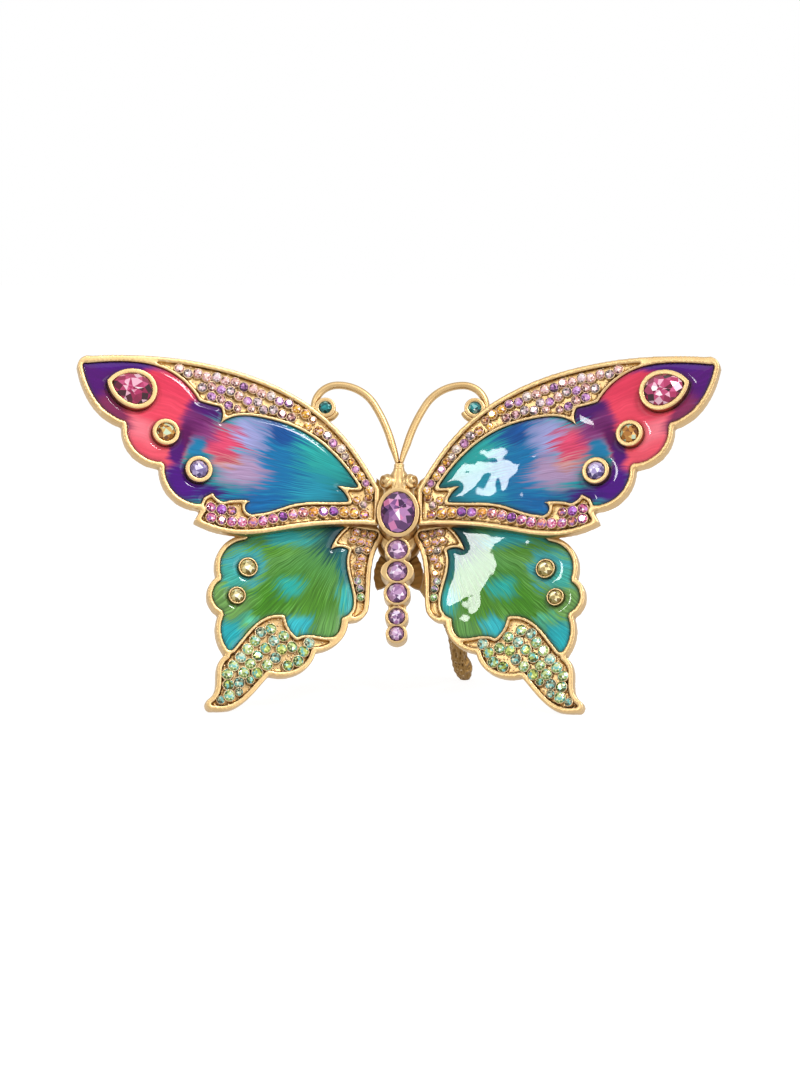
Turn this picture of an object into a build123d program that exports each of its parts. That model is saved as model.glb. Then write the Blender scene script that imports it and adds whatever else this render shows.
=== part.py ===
from build123d import *

import math
import os

# Standing butterfly ornament: four gilt cast wings with enamel cells, pave fields and bezel-set crystals,
# pegged to a body casting, and propped from behind by a leaf bracket and a curved leg.
# All sizes are millimetres. Shapes are drawn in the ornament's own sheet (x to the viewer's right, y up the
# body, z towards the viewer, thorax centre at the origin), then leaned back and stood on the table.

# Stance
LEAN = 24.0
DIHEDRAL = 15.0
FOOT_FLAT = 0.4

# Fits between pieces
FIT_GAP = 0.04
SOLDER_GAP = 0.1

# Spacing of the points that a moved curve is redrawn through
CURVE_STEP = 1.5

# Wing castings. The forewing's back meets the hindwing's front at the seam.
WING_THICKNESS = 3.0
WING_SEAM = -1.5
RIM_WIDTH = 1.3
DIVIDER_WIDTH = 0.8
ENAMEL_DEPTH = 1.8
ENAMEL_BELOW_RIM = 0.35
PAVE_DEPTH = 1.0
TAB_THICKNESS = 1.6
TAB_INNER_X = 2.4
TAB_OVERLAP = 1.2
FORE_TAB_LOW = -3.6
FORE_TAB_HIGH = 2.2
HIND_TAB_LOW = -7.2
HIND_TAB_HIGH = -5.0

# Pave crystals
PAVE_GAP = 0.22
PAVE_WALL_GAP = 0.06
PAVE_NUDGES = (0.0, 0.15, -0.15, 0.3, -0.3, 0.45, -0.45)
PAVE_GIRDLE = 0.75
PAVE_CROWN = 0.7
PAVE_SIDES = 8
LEADING_PAVE_D = 2.2
ROOT_PAVE_D = 1.8
TRAILING_PAVE_D = 2.3
INNER_PAVE_D = 1.8
TAIL_PAVE_D = 2.45
TABLE_SHARE = 0.56
ROW_STEP = 0.2
WALL_STEP = 0.3

# Bezels that stand in the enamel, and the crystals in them
CRYSTAL_SIDES = 16
CRYSTAL_GIRDLE = 1.2
ROUND_CROWN = 1.0
PEAR_LENGTH = 10.1
PEAR_WIDTH = 7.8
PEAR_WALL = 1.3
PEAR_RISE = 1.3
PEAR_CROWN = 1.5
PEAR_AT = (67.3, 24.8)
PEAR_TURN = 12.0
FORE_ROUND_D = 4.5
FORE_ROUND_WALL = 1.15
FORE_ROUND_RISE = 1.1
AMBER_AT = (59.5, 14.4)
LILAC_AT = (51.0, 5.5)
CITRINE_WALL = 0.4
CITRINE_RISE = 0.5
UPPER_CITRINE_D = 4.0
UPPER_CITRINE_AT = (37.4, -17.5)
LOWER_CITRINE_D = 3.5
LOWER_CITRINE_AT = (39.9, -24.9)

# Body casting
THORAX_Y = -1.8
THORAX_WIDTH = 10.7
THORAX_HEIGHT = 13.0
THORAX_WALL = 1.2
THORAX_BACK = -4.5
THORAX_FRONT = 4.0
OVAL_CROWN = 1.9
SPINE_WIDTH = 4.4
SPINE_BACK = -3.6
SPINE_FRONT = 0.0
BEAD_BACK = -2.4
BEAD_WALL = 0.7
# One row per abdomen cup, from the thorax down: centre height, crystal diameter, extra side wall, cup front
BEADS = (
    (-11.1, 4.9, 0.1, 2.9),
    (-16.7, 4.9, 1.0, 2.8),
    (-22.2, 4.9, 0.2, 2.5),
    (-28.1, 4.0, 0.2, 2.1),
    (-32.4, 3.6, 0.2, 1.8),
)

# Head
HEAD_Z = -0.3
# Sections up the head: height above the thorax, half width, half depth
HEAD_SECTIONS = ((-2.3, 3.5, 2.5), (1.9, 3.1, 2.5), (4.3, 2.0, 1.9), (5.9, 1.75, 1.35), (7.5, 1.9, 1.3))
EYE_D = 4.2
EYE_X = 2.65
EYE_RISE = 2.3
EYE_Z = 0.6
HEAD_PEG_D = 2.4
HEAD_PEG_LENGTH = 2.6
HEAD_PEG_Z = -1.6

# Antennae
ANTENNA_D = 1.7
ANTENNA_BASE_X = 0.88
ANTENNA_PEG_D = 1.1
ANTENNA_PEG_LENGTH = 1.8
# Heading at the base from straight up, then each arc's radius and the angle it turns outwards
ANTENNA_HEADING = 8.0
ANTENNA_ARCS = ((40.0, 24.0), (11.0, 58.0), (5.8, 100.0), (2.75, 150.0))
TIP_CRYSTAL_D = 3.3
TIP_CUP_WALL = 0.4
TIP_CUP_HEIGHT = 2.2
TIP_GIRDLE = 0.9
TIP_CROWN = 0.7

# Leaf bracket behind the body, with the leg's pivot at its centre
PIVOT_Y = -6.8
BRACKET_HUB_D = 11.0
BRACKET_THICKNESS = 3.0
LEAF_THICKNESS = 1.5
UPPER_LEAF_TIP = (6.0, 10.8)
UPPER_LEAF_WIDTH = 3.8
LOWER_LEAF_TIP = (5.4, -19.0)
LOWER_LEAF_WIDTH = 6.2
BRACKET_KEY_D = 2.0
BRACKET_KEY_UP = 3.6
BRACKET_KEY_LENGTH = 2.0
REAR_BOSS_D = 9.0
REAR_BOSS_LENGTH = 3.0

# Prop leg, its pivot screw and its stops
PIVOT_CLEARANCE = 0.05
LEG_EYE_D = 7.0
LEG_EYE_THICKNESS = 2.2
LEG_NECK_WIDTH = 3.8
LEG_NECK_LENGTH = 6.0
SCREW_SHANK_D = 2.6
SCREW_HEAD_D = 5.2
SCREW_HEAD_HEIGHT = 1.5
SCREW_SLOT_WIDTH = 0.7
SCREW_SLOT_DEPTH = 0.6
SCREW_BITE = 3.2
STOP_D = 1.4
STOP_ALONG = 3.6
STOP_GAP = 0.08
LEG_FOOT_X = 16.6
LEG_FOOT_BACK = 19.5
# Stations down the leg: share of the run from neck to foot, bulge to the right, thickness
LEG_STATIONS = (
    (0.00, 0.0, 2.1),
    (0.13, 0.6, 3.5),
    (0.29, 1.6, 3.5),
    (0.47, 2.7, 3.4),
    (0.62, 2.5, 3.6),
    (0.74, 1.7, 4.2),
    (0.86, 1.0, 5.0),
    (1.00, 0.0, 4.6),
    (1.08, -0.4, 4.2),
)

# Outlines. Each step runs on from the last point: a line to a point, an arc through a point to a point,
# or a smooth curve through several points.
FOREWING_START = (5.2, 4.6)
FOREWING_OUTLINE = (
    ("curve", (8.0, 9.2), (12.5, 15.5), (21.0, 23.5), (32.0, 29.4), (46.0, 33.1), (62.0, 34.3), (78.6, 32.9)),
    ("arc", (81.4, 31.8), (81.9, 29.6)),
    ("curve", (80.4, 25.0), (76.9, 19.4), (70.3, 15.5)),
    ("arc", (67.7, 8.6), (60.6, 5.6)),
    ("arc", (58.3, -0.8), (50.0, -4.4)),
    ("line", (51.6, -7.6)),
    ("curve", (45.4, -9.7), (38.0, -9.9), (28.0, -7.7), (17.0, -5.6), (5.2, -4.9)),
    ("line", (5.2, 4.6)),
)
FOREWING_ENAMEL_START = (88.0, 34.0)
FOREWING_ENAMEL = (
    ("line", (79.8, 30.8)),
    ("curve", (70.0, 32.2), (59.5, 30.8), (54.2, 27.2), (51.4, 23.6)),
    ("arc", (48.8, 23.0), (46.0, 22.6)),
    ("arc", (45.4, 20.6), (46.2, 17.9)),
    ("curve", (42.6, 20.3), (35.0, 20.7), (25.0, 18.1), (15.6, 11.2), (10.4, 4.6)),
    ("arc", (13.8, 4.5), (16.9, 4.9)),
    ("arc", (14.6, 3.5), (12.9, 0.7)),
    ("curve", (19.0, 0.1), (26.5, -1.0), (32.0, -3.2), (36.6, -4.5)),
    ("arc", (39.0, -3.2), (37.2, -1.3)),
    ("arc", (41.6, -1.3), (44.6, -2.1)),
    ("arc", (46.2, -1.3), (47.1, 0.1)),
    ("line", (49.4, -1.3)),
    ("line", (52.0, -9.0)),
    ("line", (88.0, 0.0)),
    ("line", (88.0, 34.0)),
)
HINDWING_START = (3.0, -4.4)
HINDWING_OUTLINE = (
    ("line", (3.6, -7.6)),
    ("curve", (5.7, -12.4), (6.4, -20.0), (6.8, -26.0)),
    ("curve", (8.8, -28.6), (11.8, -29.2)),
    ("curve", (13.6, -34.2), (16.4, -36.5), (19.8, -37.6)),
    ("curve", (22.2, -42.0), (25.6, -44.0), (31.2, -44.3)),
    ("curve", (34.6, -48.6), (39.0, -52.7), (44.6, -54.0)),
    ("arc", (46.4, -53.4), (46.2, -51.4)),
    ("curve", (44.2, -47.8), (44.2, -45.0), (42.2, -39.9)),
    ("arc", (44.6, -35.2), (44.2, -29.9)),
    ("arc", (47.2, -25.2), (45.0, -20.4)),
    ("arc", (44.8, -14.0), (38.8, -9.2)),
    ("line", (36.0, -5.6)),
    ("line", (14.0, -3.4)),
    ("line", (3.0, -4.4)),
)
HINDWING_ENAMEL_START = (13.0, -2.0)
HINDWING_ENAMEL = (
    ("line", (50.0, -2.0)),
    ("line", (50.0, -39.0)),
    ("line", (40.6, -38.7)),
    ("curve", (37.4, -34.4), (34.0, -30.7), (27.6, -28.9)),
    ("arc", (26.8, -31.8), (24.6, -34.3)),
    ("curve", (21.0, -33.4), (17.0, -33.7), (13.5, -28.4)),
    ("curve", (10.9, -26.0), (11.1, -21.0), (12.4, -15.8), (12.0, -10.8)),
    ("arc", (14.6, -10.3), (16.7, -11.3)),
    ("arc", (15.4, -8.0), (13.0, -5.0)),
    ("line", (13.0, -2.0)),
)

# Rows of pave crystals, each a smooth line through these points
LEADING_ROWS = (
    ((56.8, 31.2), (52.9, 30.5), (46.0, 29.7), (38.8, 28.0), (32.2, 25.9), (28.6, 24.6), (25.4, 23.2),
     (22.9, 21.4)),
    ((50.8, 27.2), (45.8, 27.0), (42.6, 26.2), (39.3, 25.2), (35.8, 24.8)),
    ((48.4, 24.9), (44.8, 23.6), (41.8, 22.0), (37.6, 22.4), (33.6, 22.8), (30.8, 22.2), (27.4, 20.5),
     (24.8, 19.2)),
    ((21.0, 18.6), (18.2, 16.4), (15.6, 14.0)),
)
ROOT_ROWS = (
    ((22.9, 21.4), (21.9, 19.9), (20.4, 18.4), (18.8, 17.2)),
    ((24.8, 19.2), (23.0, 18.8), (21.0, 17.6)),
    ((15.6, 14.0), (13.2, 11.1), (11.0, 8.2), (9.2, 6.4), (8.1, 1.9)),
    ((11.0, 1.2), (8.0, 0.2)),
)
TRAILING_ROWS = (
    ((47.4, -6.3), (43.2, -6.9), (39.1, -6.8), (32.5, -5.5), (26.2, -3.6), (19.9, -2.5), (14.2, -2.1),
     (8.2, -2.4)),
    ((49.7, -3.6), (45.5, -4.4), (41.2, -4.0)),
)
INNER_ROWS = (
    ((6.2, -6.6), (9.2, -6.3), (11.8, -7.0)),
    ((6.4, -8.7), (9.4, -8.5), (12.4, -8.9)),
    ((7.4, -10.6), (10.0, -10.6)),
    ((9.0, -12.2), (9.4, -15.2), (9.4, -18.6), (9.1, -21.8), (9.0, -25.4)),
)
TAIL_ROWS = (
    ((31.2, -32.6), (34.4, -35.0), (36.5, -37.7), (38.7, -40.7), (40.7, -43.5), (41.3, -46.9), (41.3, -50.2),
     (43.2, -51.0)),
    ((28.0, -34.2), (31.1, -36.2), (33.5, -38.8), (35.9, -41.4), (37.5, -44.0), (38.6, -46.6), (38.4, -49.6)),
    ((25.8, -36.8), (28.6, -38.4), (31.5, -41.7), (34.2, -43.7), (36.1, -46.2)),
    ((20.7, -35.2), (23.0, -38.4), (24.8, -41.2), (28.6, -41.7)),
)


def outline_face(start, steps):
    """A flat face bounded by the steps, which run on from start and come back to it."""
    edges = []
    here = start
    for kind, *points in steps:
        if kind == "line":
            edges.append(Line(here, points[0]))
        elif kind == "arc":
            edges.append(ThreePointArc(here, *points))
        else:
            edges.append(Spline(here, *points))
        here = points[-1]
    return Face(Wire(edges))


def grown(face, amount):
    """The face with its edge moved outwards by amount, or inwards where amount is negative.

    Moved curves are redrawn as smooth curves through points on them.
    """
    edges = []
    for edge in face.outer_wire().offset_2d(amount, Kind.ARC).edges():
        if edge.geom_type not in (GeomType.LINE, GeomType.CIRCLE):
            count = math.ceil(edge.length / CURVE_STEP) + 1
            points = [edge.position_at(k / count) for k in range(count + 1)]
            edge = Spline(*points, tangents=(edge.tangent_at(0), edge.tangent_at(1)))
        edges.append(edge)
    return Face(Wire(edges))


def slab(face, low, high):
    """The face raised from height low to height high."""
    upward = face if face.normal_at().Z > 0 else -face
    return Pos(Z=low) * Solid.extrude(upward, Vector(0, 0, high - low))


def ellipse_face(width, height, x=0.0, y=0.0):
    return Face(Wire([Edge.make_ellipse(max(width, height) / 2, min(width, height) / 2,
                                        Plane((x, y, 0), x_dir=(0, 1, 0) if height > width else (1, 0, 0)))]))


def round_face(diameter, x=0.0, y=0.0):
    return Face(Wire.make_circle(diameter / 2, Plane((x, y, 0))))


def rod(diameter, x, y, low, high):
    """A round bar along z."""
    return slab(round_face(diameter, x, y), low, high)


def pear_face(length, width):
    """A pear outline: round end about the origin, point along +x."""
    radius = width / 2
    reach = length - radius
    side = (reach ** 2 + radius ** 2) / (2 * radius)
    half = math.asin(reach / side) / 2
    mid_x = side * math.sin(half)
    mid_y = radius - side + side * math.cos(half)
    return Face(Wire([
        ThreePointArc((0, radius), (-radius, 0), (0, -radius)),
        ThreePointArc((0, -radius), (mid_x, -mid_y), (reach, 0)),
        ThreePointArc((reach, 0), (mid_x, mid_y), (0, radius)),
    ]))


def faceted(face, sides, girdle, crown):
    """A flat-backed cut crystal on the face: straight girdle, sloping crown facets and a flat table."""
    wire = face.outer_wire()
    corners = [wire.position_at(k / sides) for k in range(sides)]
    middle = sum(corners, Vector(0, 0, 0)) / sides

    def level(height, share):
        ring = [middle + (corner - middle) * share + Vector(0, 0, height) for corner in corners]
        return Wire.make_polygon(ring)

    return Solid.make_loft([level(0, 1), level(girdle, 1), level(girdle + crown, TABLE_SHARE)], ruled=True)


def samples(wire, step):
    count = max(8, math.ceil(wire.length / step))
    return [wire.position_at(k / count) for k in range(count)]


def inside(point, ring):
    """Whether a point lies within a closed ring of points."""
    found = False
    for a, b in zip(ring, ring[1:] + ring[:1]):
        if (a.Y > point.Y) != (b.Y > point.Y):
            if point.X < a.X + (point.Y - a.Y) * (b.X - a.X) / (b.Y - a.Y):
                found = not found
    return found


def pave_places(rows, field, cell, diameter, taken):
    """Places and diameters of crystals along the rows, after those of the places taken before.

    Each is clear of the field's walls and of the ones before it. One that is too near a wall is nudged
    sideways off its row.
    """
    field_ring = samples(field.outer_wire(), WALL_STEP)
    cell_ring = samples(cell.outer_wire(), WALL_STEP)
    walls = field_ring + cell_ring
    wall_room = diameter / 2 + PAVE_WALL_GAP
    places = []
    for row in rows:
        line = Spline(*row)
        count = math.ceil(line.length / ROW_STEP)
        for k in range(count + 1):
            ahead = line.tangent_at(k / count)
            for nudge in PAVE_NUDGES:
                point = line.position_at(k / count) + Vector(-ahead.Y, ahead.X, 0) * nudge
                near = [other for other, size in taken + places
                        if (point - other).length < (diameter + size) / 2 + PAVE_GAP]
                if near:
                    continue
                if min((point - wall).length for wall in walls) < wall_room:
                    continue
                if inside(point, field_ring) and not inside(point, cell_ring):
                    places.append((point, diameter))
                    break
    return places


def pave_set(places, wing):
    """One crystal at each place, standing on the floor of the pave pocket."""
    floor = WING_THICKNESS - PAVE_DEPTH
    crystals = []
    for place, diameter in places:
        crystal = faceted(round_face(diameter), PAVE_SIDES, PAVE_GIRDLE, PAVE_CROWN)
        crystals.append(wing * Pos(place.X, place.Y, floor) * crystal)
    return Compound(crystals)


def bezel_and_crystal(outline, wall, rise, crown, spot):
    """A cup that stands on the enamel's floor, the crystal in it, and the hole that it takes in the enamel.

    outline(extra) gives the crystal's outline, larger by extra all round.
    """
    foot = WING_THICKNESS - ENAMEL_DEPTH
    top = WING_THICKNESS + rise
    seat = top - CRYSTAL_GIRDLE
    cup = slab(outline(wall), foot, top) - slab(outline(FIT_GAP), seat, top)
    crystal = Pos(Z=seat) * faceted(outline(0), CRYSTAL_SIDES, CRYSTAL_GIRDLE, crown)
    hole = slab(outline(wall + FIT_GAP), 0, top)
    return spot * cup, spot * crystal, spot * hole


def round_bezel(diameter, wall, rise, at):
    def outline(extra):
        return round_face(diameter + 2 * extra)
    return bezel_and_crystal(outline, wall, rise, ROUND_CROWN, Pos(*at))


def pear_bezel():
    def outline(extra):
        return pear_face(PEAR_LENGTH + 2 * extra, PEAR_WIDTH + 2 * extra)
    return bezel_and_crystal(outline, PEAR_WALL, PEAR_RISE, PEAR_CROWN, Pos(*PEAR_AT) * Rot(Z=PEAR_TURN))


def root_tab(low, high, outer_x, extra):
    """The tongue by which a wing sits in the body, larger by extra all round."""
    floor = WING_THICKNESS - PAVE_DEPTH
    middle = floor / 2
    half = TAB_THICKNESS / 2
    face = Face(Wire.make_polygon([
        (TAB_INNER_X - extra, low - extra), (outer_x, low - extra),
        (outer_x, high + extra), (TAB_INNER_X - extra, high + extra),
    ]))
    return slab(face, middle - half - extra, middle + half + extra)


def thorax_block(extra):
    return slab(ellipse_face(THORAX_WIDTH + 2 * extra, THORAX_HEIGHT + 2 * extra, y=THORAX_Y),
                THORAX_BACK - extra, THORAX_FRONT + extra)


def rear_boss(extra):
    """The round pad that the leaf bracket is fixed to, larger by extra all round."""
    front = THORAX_BACK + REAR_BOSS_LENGTH + extra
    return rod(REAR_BOSS_D + 2 * extra, 0, PIVOT_Y, THORAX_BACK - extra, front)


def wing_parts(start, steps, cell_start, cell_steps, wing, tab_low, tab_high):
    """The casting, its enamel, the two faces that bound its pave fields, and its slot in the body."""
    outer = outline_face(start, steps)
    cell = outline_face(cell_start, cell_steps)
    field = grown(outer, -RIM_WIDTH)
    kerb = grown(cell, DIVIDER_WIDTH)
    top = WING_THICKNESS
    enamel_floor = top - ENAMEL_DEPTH
    enamel_top = top - ENAMEL_BELOW_RIM
    pave_floor = top - PAVE_DEPTH
    enamel_pocket = slab(field, enamel_floor, top) & slab(cell, enamel_floor, top)
    pave_pocket = slab(field, pave_floor, top) - slab(kerb, pave_floor, top)
    plate = slab(outer, 0, top) - enamel_pocket - pave_pocket
    tab_outer = start[0] + TAB_OVERLAP
    casting = wing * plate - thorax_block(SOLDER_GAP) - rear_boss(SOLDER_GAP)
    casting = casting + wing * root_tab(tab_low, tab_high, tab_outer, 0)
    slot = wing * root_tab(tab_low, tab_high, tab_outer, FIT_GAP)
    fill = slab(grown(field, -FIT_GAP), enamel_floor, enamel_top)
    fill = fill & slab(grown(cell, -FIT_GAP), enamel_floor, enamel_top)
    return casting, fill, field, kerb, slot


def right_wings():
    """Every piece of the right wings by name, and the slots that their tabs take in the body."""
    turned = Rot(Y=-DIHEDRAL)
    fore = turned * Pos(Z=WING_SEAM)
    hind = turned * Pos(Z=WING_SEAM - SOLDER_GAP - WING_THICKNESS)
    pieces = {}

    casting, fill, field, kerb, fore_slot = wing_parts(
        FOREWING_START, FOREWING_OUTLINE, FOREWING_ENAMEL_START, FOREWING_ENAMEL,
        fore, FORE_TAB_LOW, FORE_TAB_HIGH)
    pieces["forewing"] = casting
    settings = {
        "pear": pear_bezel(),
        "amber": round_bezel(FORE_ROUND_D, FORE_ROUND_WALL, FORE_ROUND_RISE, AMBER_AT),
        "lilac": round_bezel(FORE_ROUND_D, FORE_ROUND_WALL, FORE_ROUND_RISE, LILAC_AT),
    }
    for name, (cup, crystal, hole) in settings.items():
        pieces[name + "_bezel"] = fore * cup
        pieces[name + "_crystal"] = fore * crystal
        fill = fill - hole
    pieces["forewing_enamel"] = fore * fill
    trailing = pave_places(TRAILING_ROWS, field, kerb, TRAILING_PAVE_D, [])
    leading = pave_places(LEADING_ROWS, field, kerb, LEADING_PAVE_D, trailing)
    smaller = pave_places(LEADING_ROWS + ROOT_ROWS, field, kerb, ROOT_PAVE_D, trailing + leading)
    leading = leading + smaller
    pieces["leading_pave"] = pave_set(leading, fore)
    pieces["trailing_pave"] = pave_set(trailing, fore)

    casting, fill, field, kerb, hind_slot = wing_parts(
        HINDWING_START, HINDWING_OUTLINE, HINDWING_ENAMEL_START, HINDWING_ENAMEL,
        hind, HIND_TAB_LOW, HIND_TAB_HIGH)
    pieces["hindwing"] = casting
    cups = []
    crystals = []
    for diameter, at in ((UPPER_CITRINE_D, UPPER_CITRINE_AT), (LOWER_CITRINE_D, LOWER_CITRINE_AT)):
        cup, crystal, hole = round_bezel(diameter, CITRINE_WALL, CITRINE_RISE, at)
        cups.append(hind * cup)
        crystals.append(hind * crystal)
        fill = fill - hole
    pieces["citrine_bezels"] = Compound(cups)
    pieces["citrine_crystals"] = Compound(crystals)
    pieces["hindwing_enamel"] = hind * fill
    inner = pave_places(INNER_ROWS, field, kerb, INNER_PAVE_D, [])
    tail = pave_places(TAIL_ROWS, field, kerb, TAIL_PAVE_D, inner)
    tail = tail + pave_places(TAIL_ROWS, field, kerb, ROOT_PAVE_D, inner + tail)
    pieces["inner_pave"] = pave_set(inner, hind)
    pieces["tail_pave"] = pave_set(tail, hind)
    return pieces, (fore_slot, hind_slot)


def body_parts(slots):
    """The body casting and the crystals in its cups."""
    pieces = {}
    last_bead = BEADS[-1][0]
    spine_face = Face(Wire.make_polygon([
        (-SPINE_WIDTH / 2, last_bead), (SPINE_WIDTH / 2, last_bead),
        (SPINE_WIDTH / 2, THORAX_Y), (-SPINE_WIDTH / 2, THORAX_Y),
    ]))
    casting = thorax_block(0) + slab(spine_face, SPINE_BACK, SPINE_FRONT)
    casting = casting + rear_boss(0)
    for height, diameter, side, front in BEADS:
        cup_height = diameter + 2 * BEAD_WALL
        casting = casting + slab(ellipse_face(cup_height + 2 * side, cup_height, y=height), BEAD_BACK, front)
    for k, (height, diameter, side, front) in enumerate(BEADS, 1):
        seat = front - CRYSTAL_GIRDLE
        casting = casting - rod(diameter + 2 * FIT_GAP, 0, height, seat, front + CRYSTAL_GIRDLE)
        crystal = faceted(round_face(diameter), CRYSTAL_SIDES, CRYSTAL_GIRDLE, ROUND_CROWN)
        pieces["abdomen_crystal_" + str(k)] = Pos(0, height, seat) * crystal
    oval_width = THORAX_WIDTH - 2 * THORAX_WALL
    oval_height = THORAX_HEIGHT - 2 * THORAX_WALL
    seat = THORAX_FRONT - CRYSTAL_GIRDLE
    pocket = ellipse_face(oval_width + 2 * FIT_GAP, oval_height + 2 * FIT_GAP, y=THORAX_Y)
    casting = casting - slab(pocket, seat, THORAX_FRONT)
    oval = faceted(ellipse_face(oval_width, oval_height), CRYSTAL_SIDES, CRYSTAL_GIRDLE, OVAL_CROWN)
    pieces["thorax_crystal"] = Pos(0, THORAX_Y, seat) * oval
    for slot in slots:
        casting = casting - slot - mirror(slot, Plane.YZ)
    casting = casting - head_peg(FIT_GAP)
    casting = casting - bracket_key(FIT_GAP)
    screw_end = THORAX_BACK + SCREW_BITE + FIT_GAP
    casting = casting - rod(SCREW_SHANK_D + 2 * FIT_GAP, 0, PIVOT_Y, THORAX_BACK, screw_end)
    pieces["body_casting"] = casting
    return pieces


def head_height(rise):
    """The height of a point on the head that is rise above the thorax."""
    return THORAX_Y + THORAX_HEIGHT / 2 + rise


def head_peg(extra):
    """The peg under the head, larger by extra all round."""
    low = head_height(0) - HEAD_PEG_LENGTH - extra
    plane = Plane((0, low, HEAD_PEG_Z), z_dir=(0, 1, 0))
    return Solid.make_cylinder(HEAD_PEG_D / 2 + extra, head_height(HEAD_SECTIONS[1][0]) - low, plane)


def antenna_peg(extra):
    """The right antenna's peg, from inside the rod down into the head, larger by extra all round."""
    top = head_height(HEAD_SECTIONS[-1][0])
    plane = Plane((ANTENNA_BASE_X, top - ANTENNA_PEG_LENGTH - extra, HEAD_Z), z_dir=(0, 1, 0))
    return Solid.make_cylinder(ANTENNA_PEG_D / 2 + extra, ANTENNA_PEG_LENGTH + ANTENNA_D / 2 + extra, plane)


def head():
    rings = []
    for rise, half_width, half_depth in HEAD_SECTIONS:
        plane = Plane((0, head_height(rise), HEAD_Z), x_dir=(1, 0, 0), z_dir=(0, 1, 0))
        rings.append(Wire([Edge.make_ellipse(half_width, half_depth, plane)]))
    skull = Solid.make_loft(rings)
    eye = Pos(EYE_X, head_height(EYE_RISE), EYE_Z) * Rot(0, 90, 0) * Solid.make_sphere(EYE_D / 2)
    skull = skull + eye + mirror(eye, Plane.YZ)
    skull = skull - thorax_block(SOLDER_GAP)
    skull = skull + head_peg(0)
    hole = antenna_peg(FIT_GAP)
    return skull - hole - mirror(hole, Plane.YZ)


def antenna():
    """The right antenna with its stone cup, and the crystal in the cup."""
    def ahead(heading):
        return Vector(math.sin(math.radians(heading)), math.cos(math.radians(heading)), 0)

    def outward(heading):
        return Vector(math.cos(math.radians(heading)), -math.sin(math.radians(heading)), 0)

    dip = ANTENNA_D / 2 * math.sin(math.radians(ANTENNA_HEADING))
    start = Vector(ANTENNA_BASE_X, head_height(HEAD_SECTIONS[-1][0]) + dip + SOLDER_GAP, HEAD_Z)
    here = start
    heading = ANTENNA_HEADING
    arcs = []
    for radius, turn in ANTENNA_ARCS:
        centre = here + outward(heading) * radius
        middle = centre - outward(heading + turn / 2) * radius
        end = centre - outward(heading + turn) * radius
        arcs.append(ThreePointArc(here, middle, end))
        here = end
        heading = heading + turn
    path = Wire(arcs)
    section = Face(Wire.make_circle(ANTENNA_D / 2, Plane(start, z_dir=ahead(ANTENNA_HEADING))))
    stem = Solid.sweep(section, path)
    low = HEAD_Z - TIP_CUP_HEIGHT / 2
    front = low + TIP_CUP_HEIGHT
    cup = rod(TIP_CRYSTAL_D + 2 * (TIP_CUP_WALL + FIT_GAP), centre.X, centre.Y, low, front)
    seat = front - TIP_GIRDLE
    stem = stem + cup + antenna_peg(0)
    stem = stem - rod(TIP_CRYSTAL_D + 2 * FIT_GAP, centre.X, centre.Y, seat, front + ANTENNA_D)
    crystal = faceted(round_face(TIP_CRYSTAL_D), CRYSTAL_SIDES, TIP_GIRDLE, TIP_CROWN)
    return stem, Pos(centre.X, centre.Y, seat) * crystal


def leaf(tip, width):
    """A pointed leaf from the pivot to the tip, bowed out evenly on both sides."""
    base = Vector(0, PIVOT_Y, 0)
    point = Vector(*tip, 0)
    along = point - base
    across = Vector(-along.Y, along.X, 0).normalized() * (width / 2)
    middle = (base + point) / 2
    edge = Wire([ThreePointArc(base, middle + across, point), ThreePointArc(point, middle - across, base)])
    return Face(edge)


def bracket_key(extra):
    """The pin that stops the bracket turning on the body, larger by extra all round."""
    return rod(BRACKET_KEY_D + 2 * extra, 0, PIVOT_Y + BRACKET_KEY_UP,
               THORAX_BACK - BRACKET_THICKNESS / 2, THORAX_BACK + BRACKET_KEY_LENGTH + extra)


def leaf_bracket(swing):
    """The rosette of four leaves on a hub, with a key into the body and a stop stud at each end of the swing.

    swing is the angle of the leg from the centre line.
    """
    back = THORAX_BACK - SOLDER_GAP - BRACKET_THICKNESS
    front = back + BRACKET_THICKNESS
    rosette = rod(BRACKET_HUB_D, 0, PIVOT_Y, back, front)
    for tip, width in ((UPPER_LEAF_TIP, UPPER_LEAF_WIDTH), (LOWER_LEAF_TIP, LOWER_LEAF_WIDTH)):
        blade = slab(leaf(tip, width), back, back + LEAF_THICKNESS)
        rosette = rosette + blade + mirror(blade, Plane.YZ)
    rosette = rosette + bracket_key(0)
    aside = LEG_NECK_WIDTH / 2 + STOP_D / 2 + STOP_GAP
    reach = math.hypot(STOP_ALONG, aside)
    stop_angle = swing + math.atan2(aside, STOP_ALONG)
    for side in (-1, 1):
        stud_x = side * reach * math.sin(stop_angle)
        stud_y = PIVOT_Y - reach * math.cos(stop_angle)
        rosette = rosette + rod(STOP_D, stud_x, stud_y, back - LEG_EYE_THICKNESS, front)
    bore = rod(SCREW_SHANK_D + 2 * FIT_GAP, 0, PIVOT_Y, back - LEG_EYE_THICKNESS, front + SOLDER_GAP)
    return rosette - bore


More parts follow.
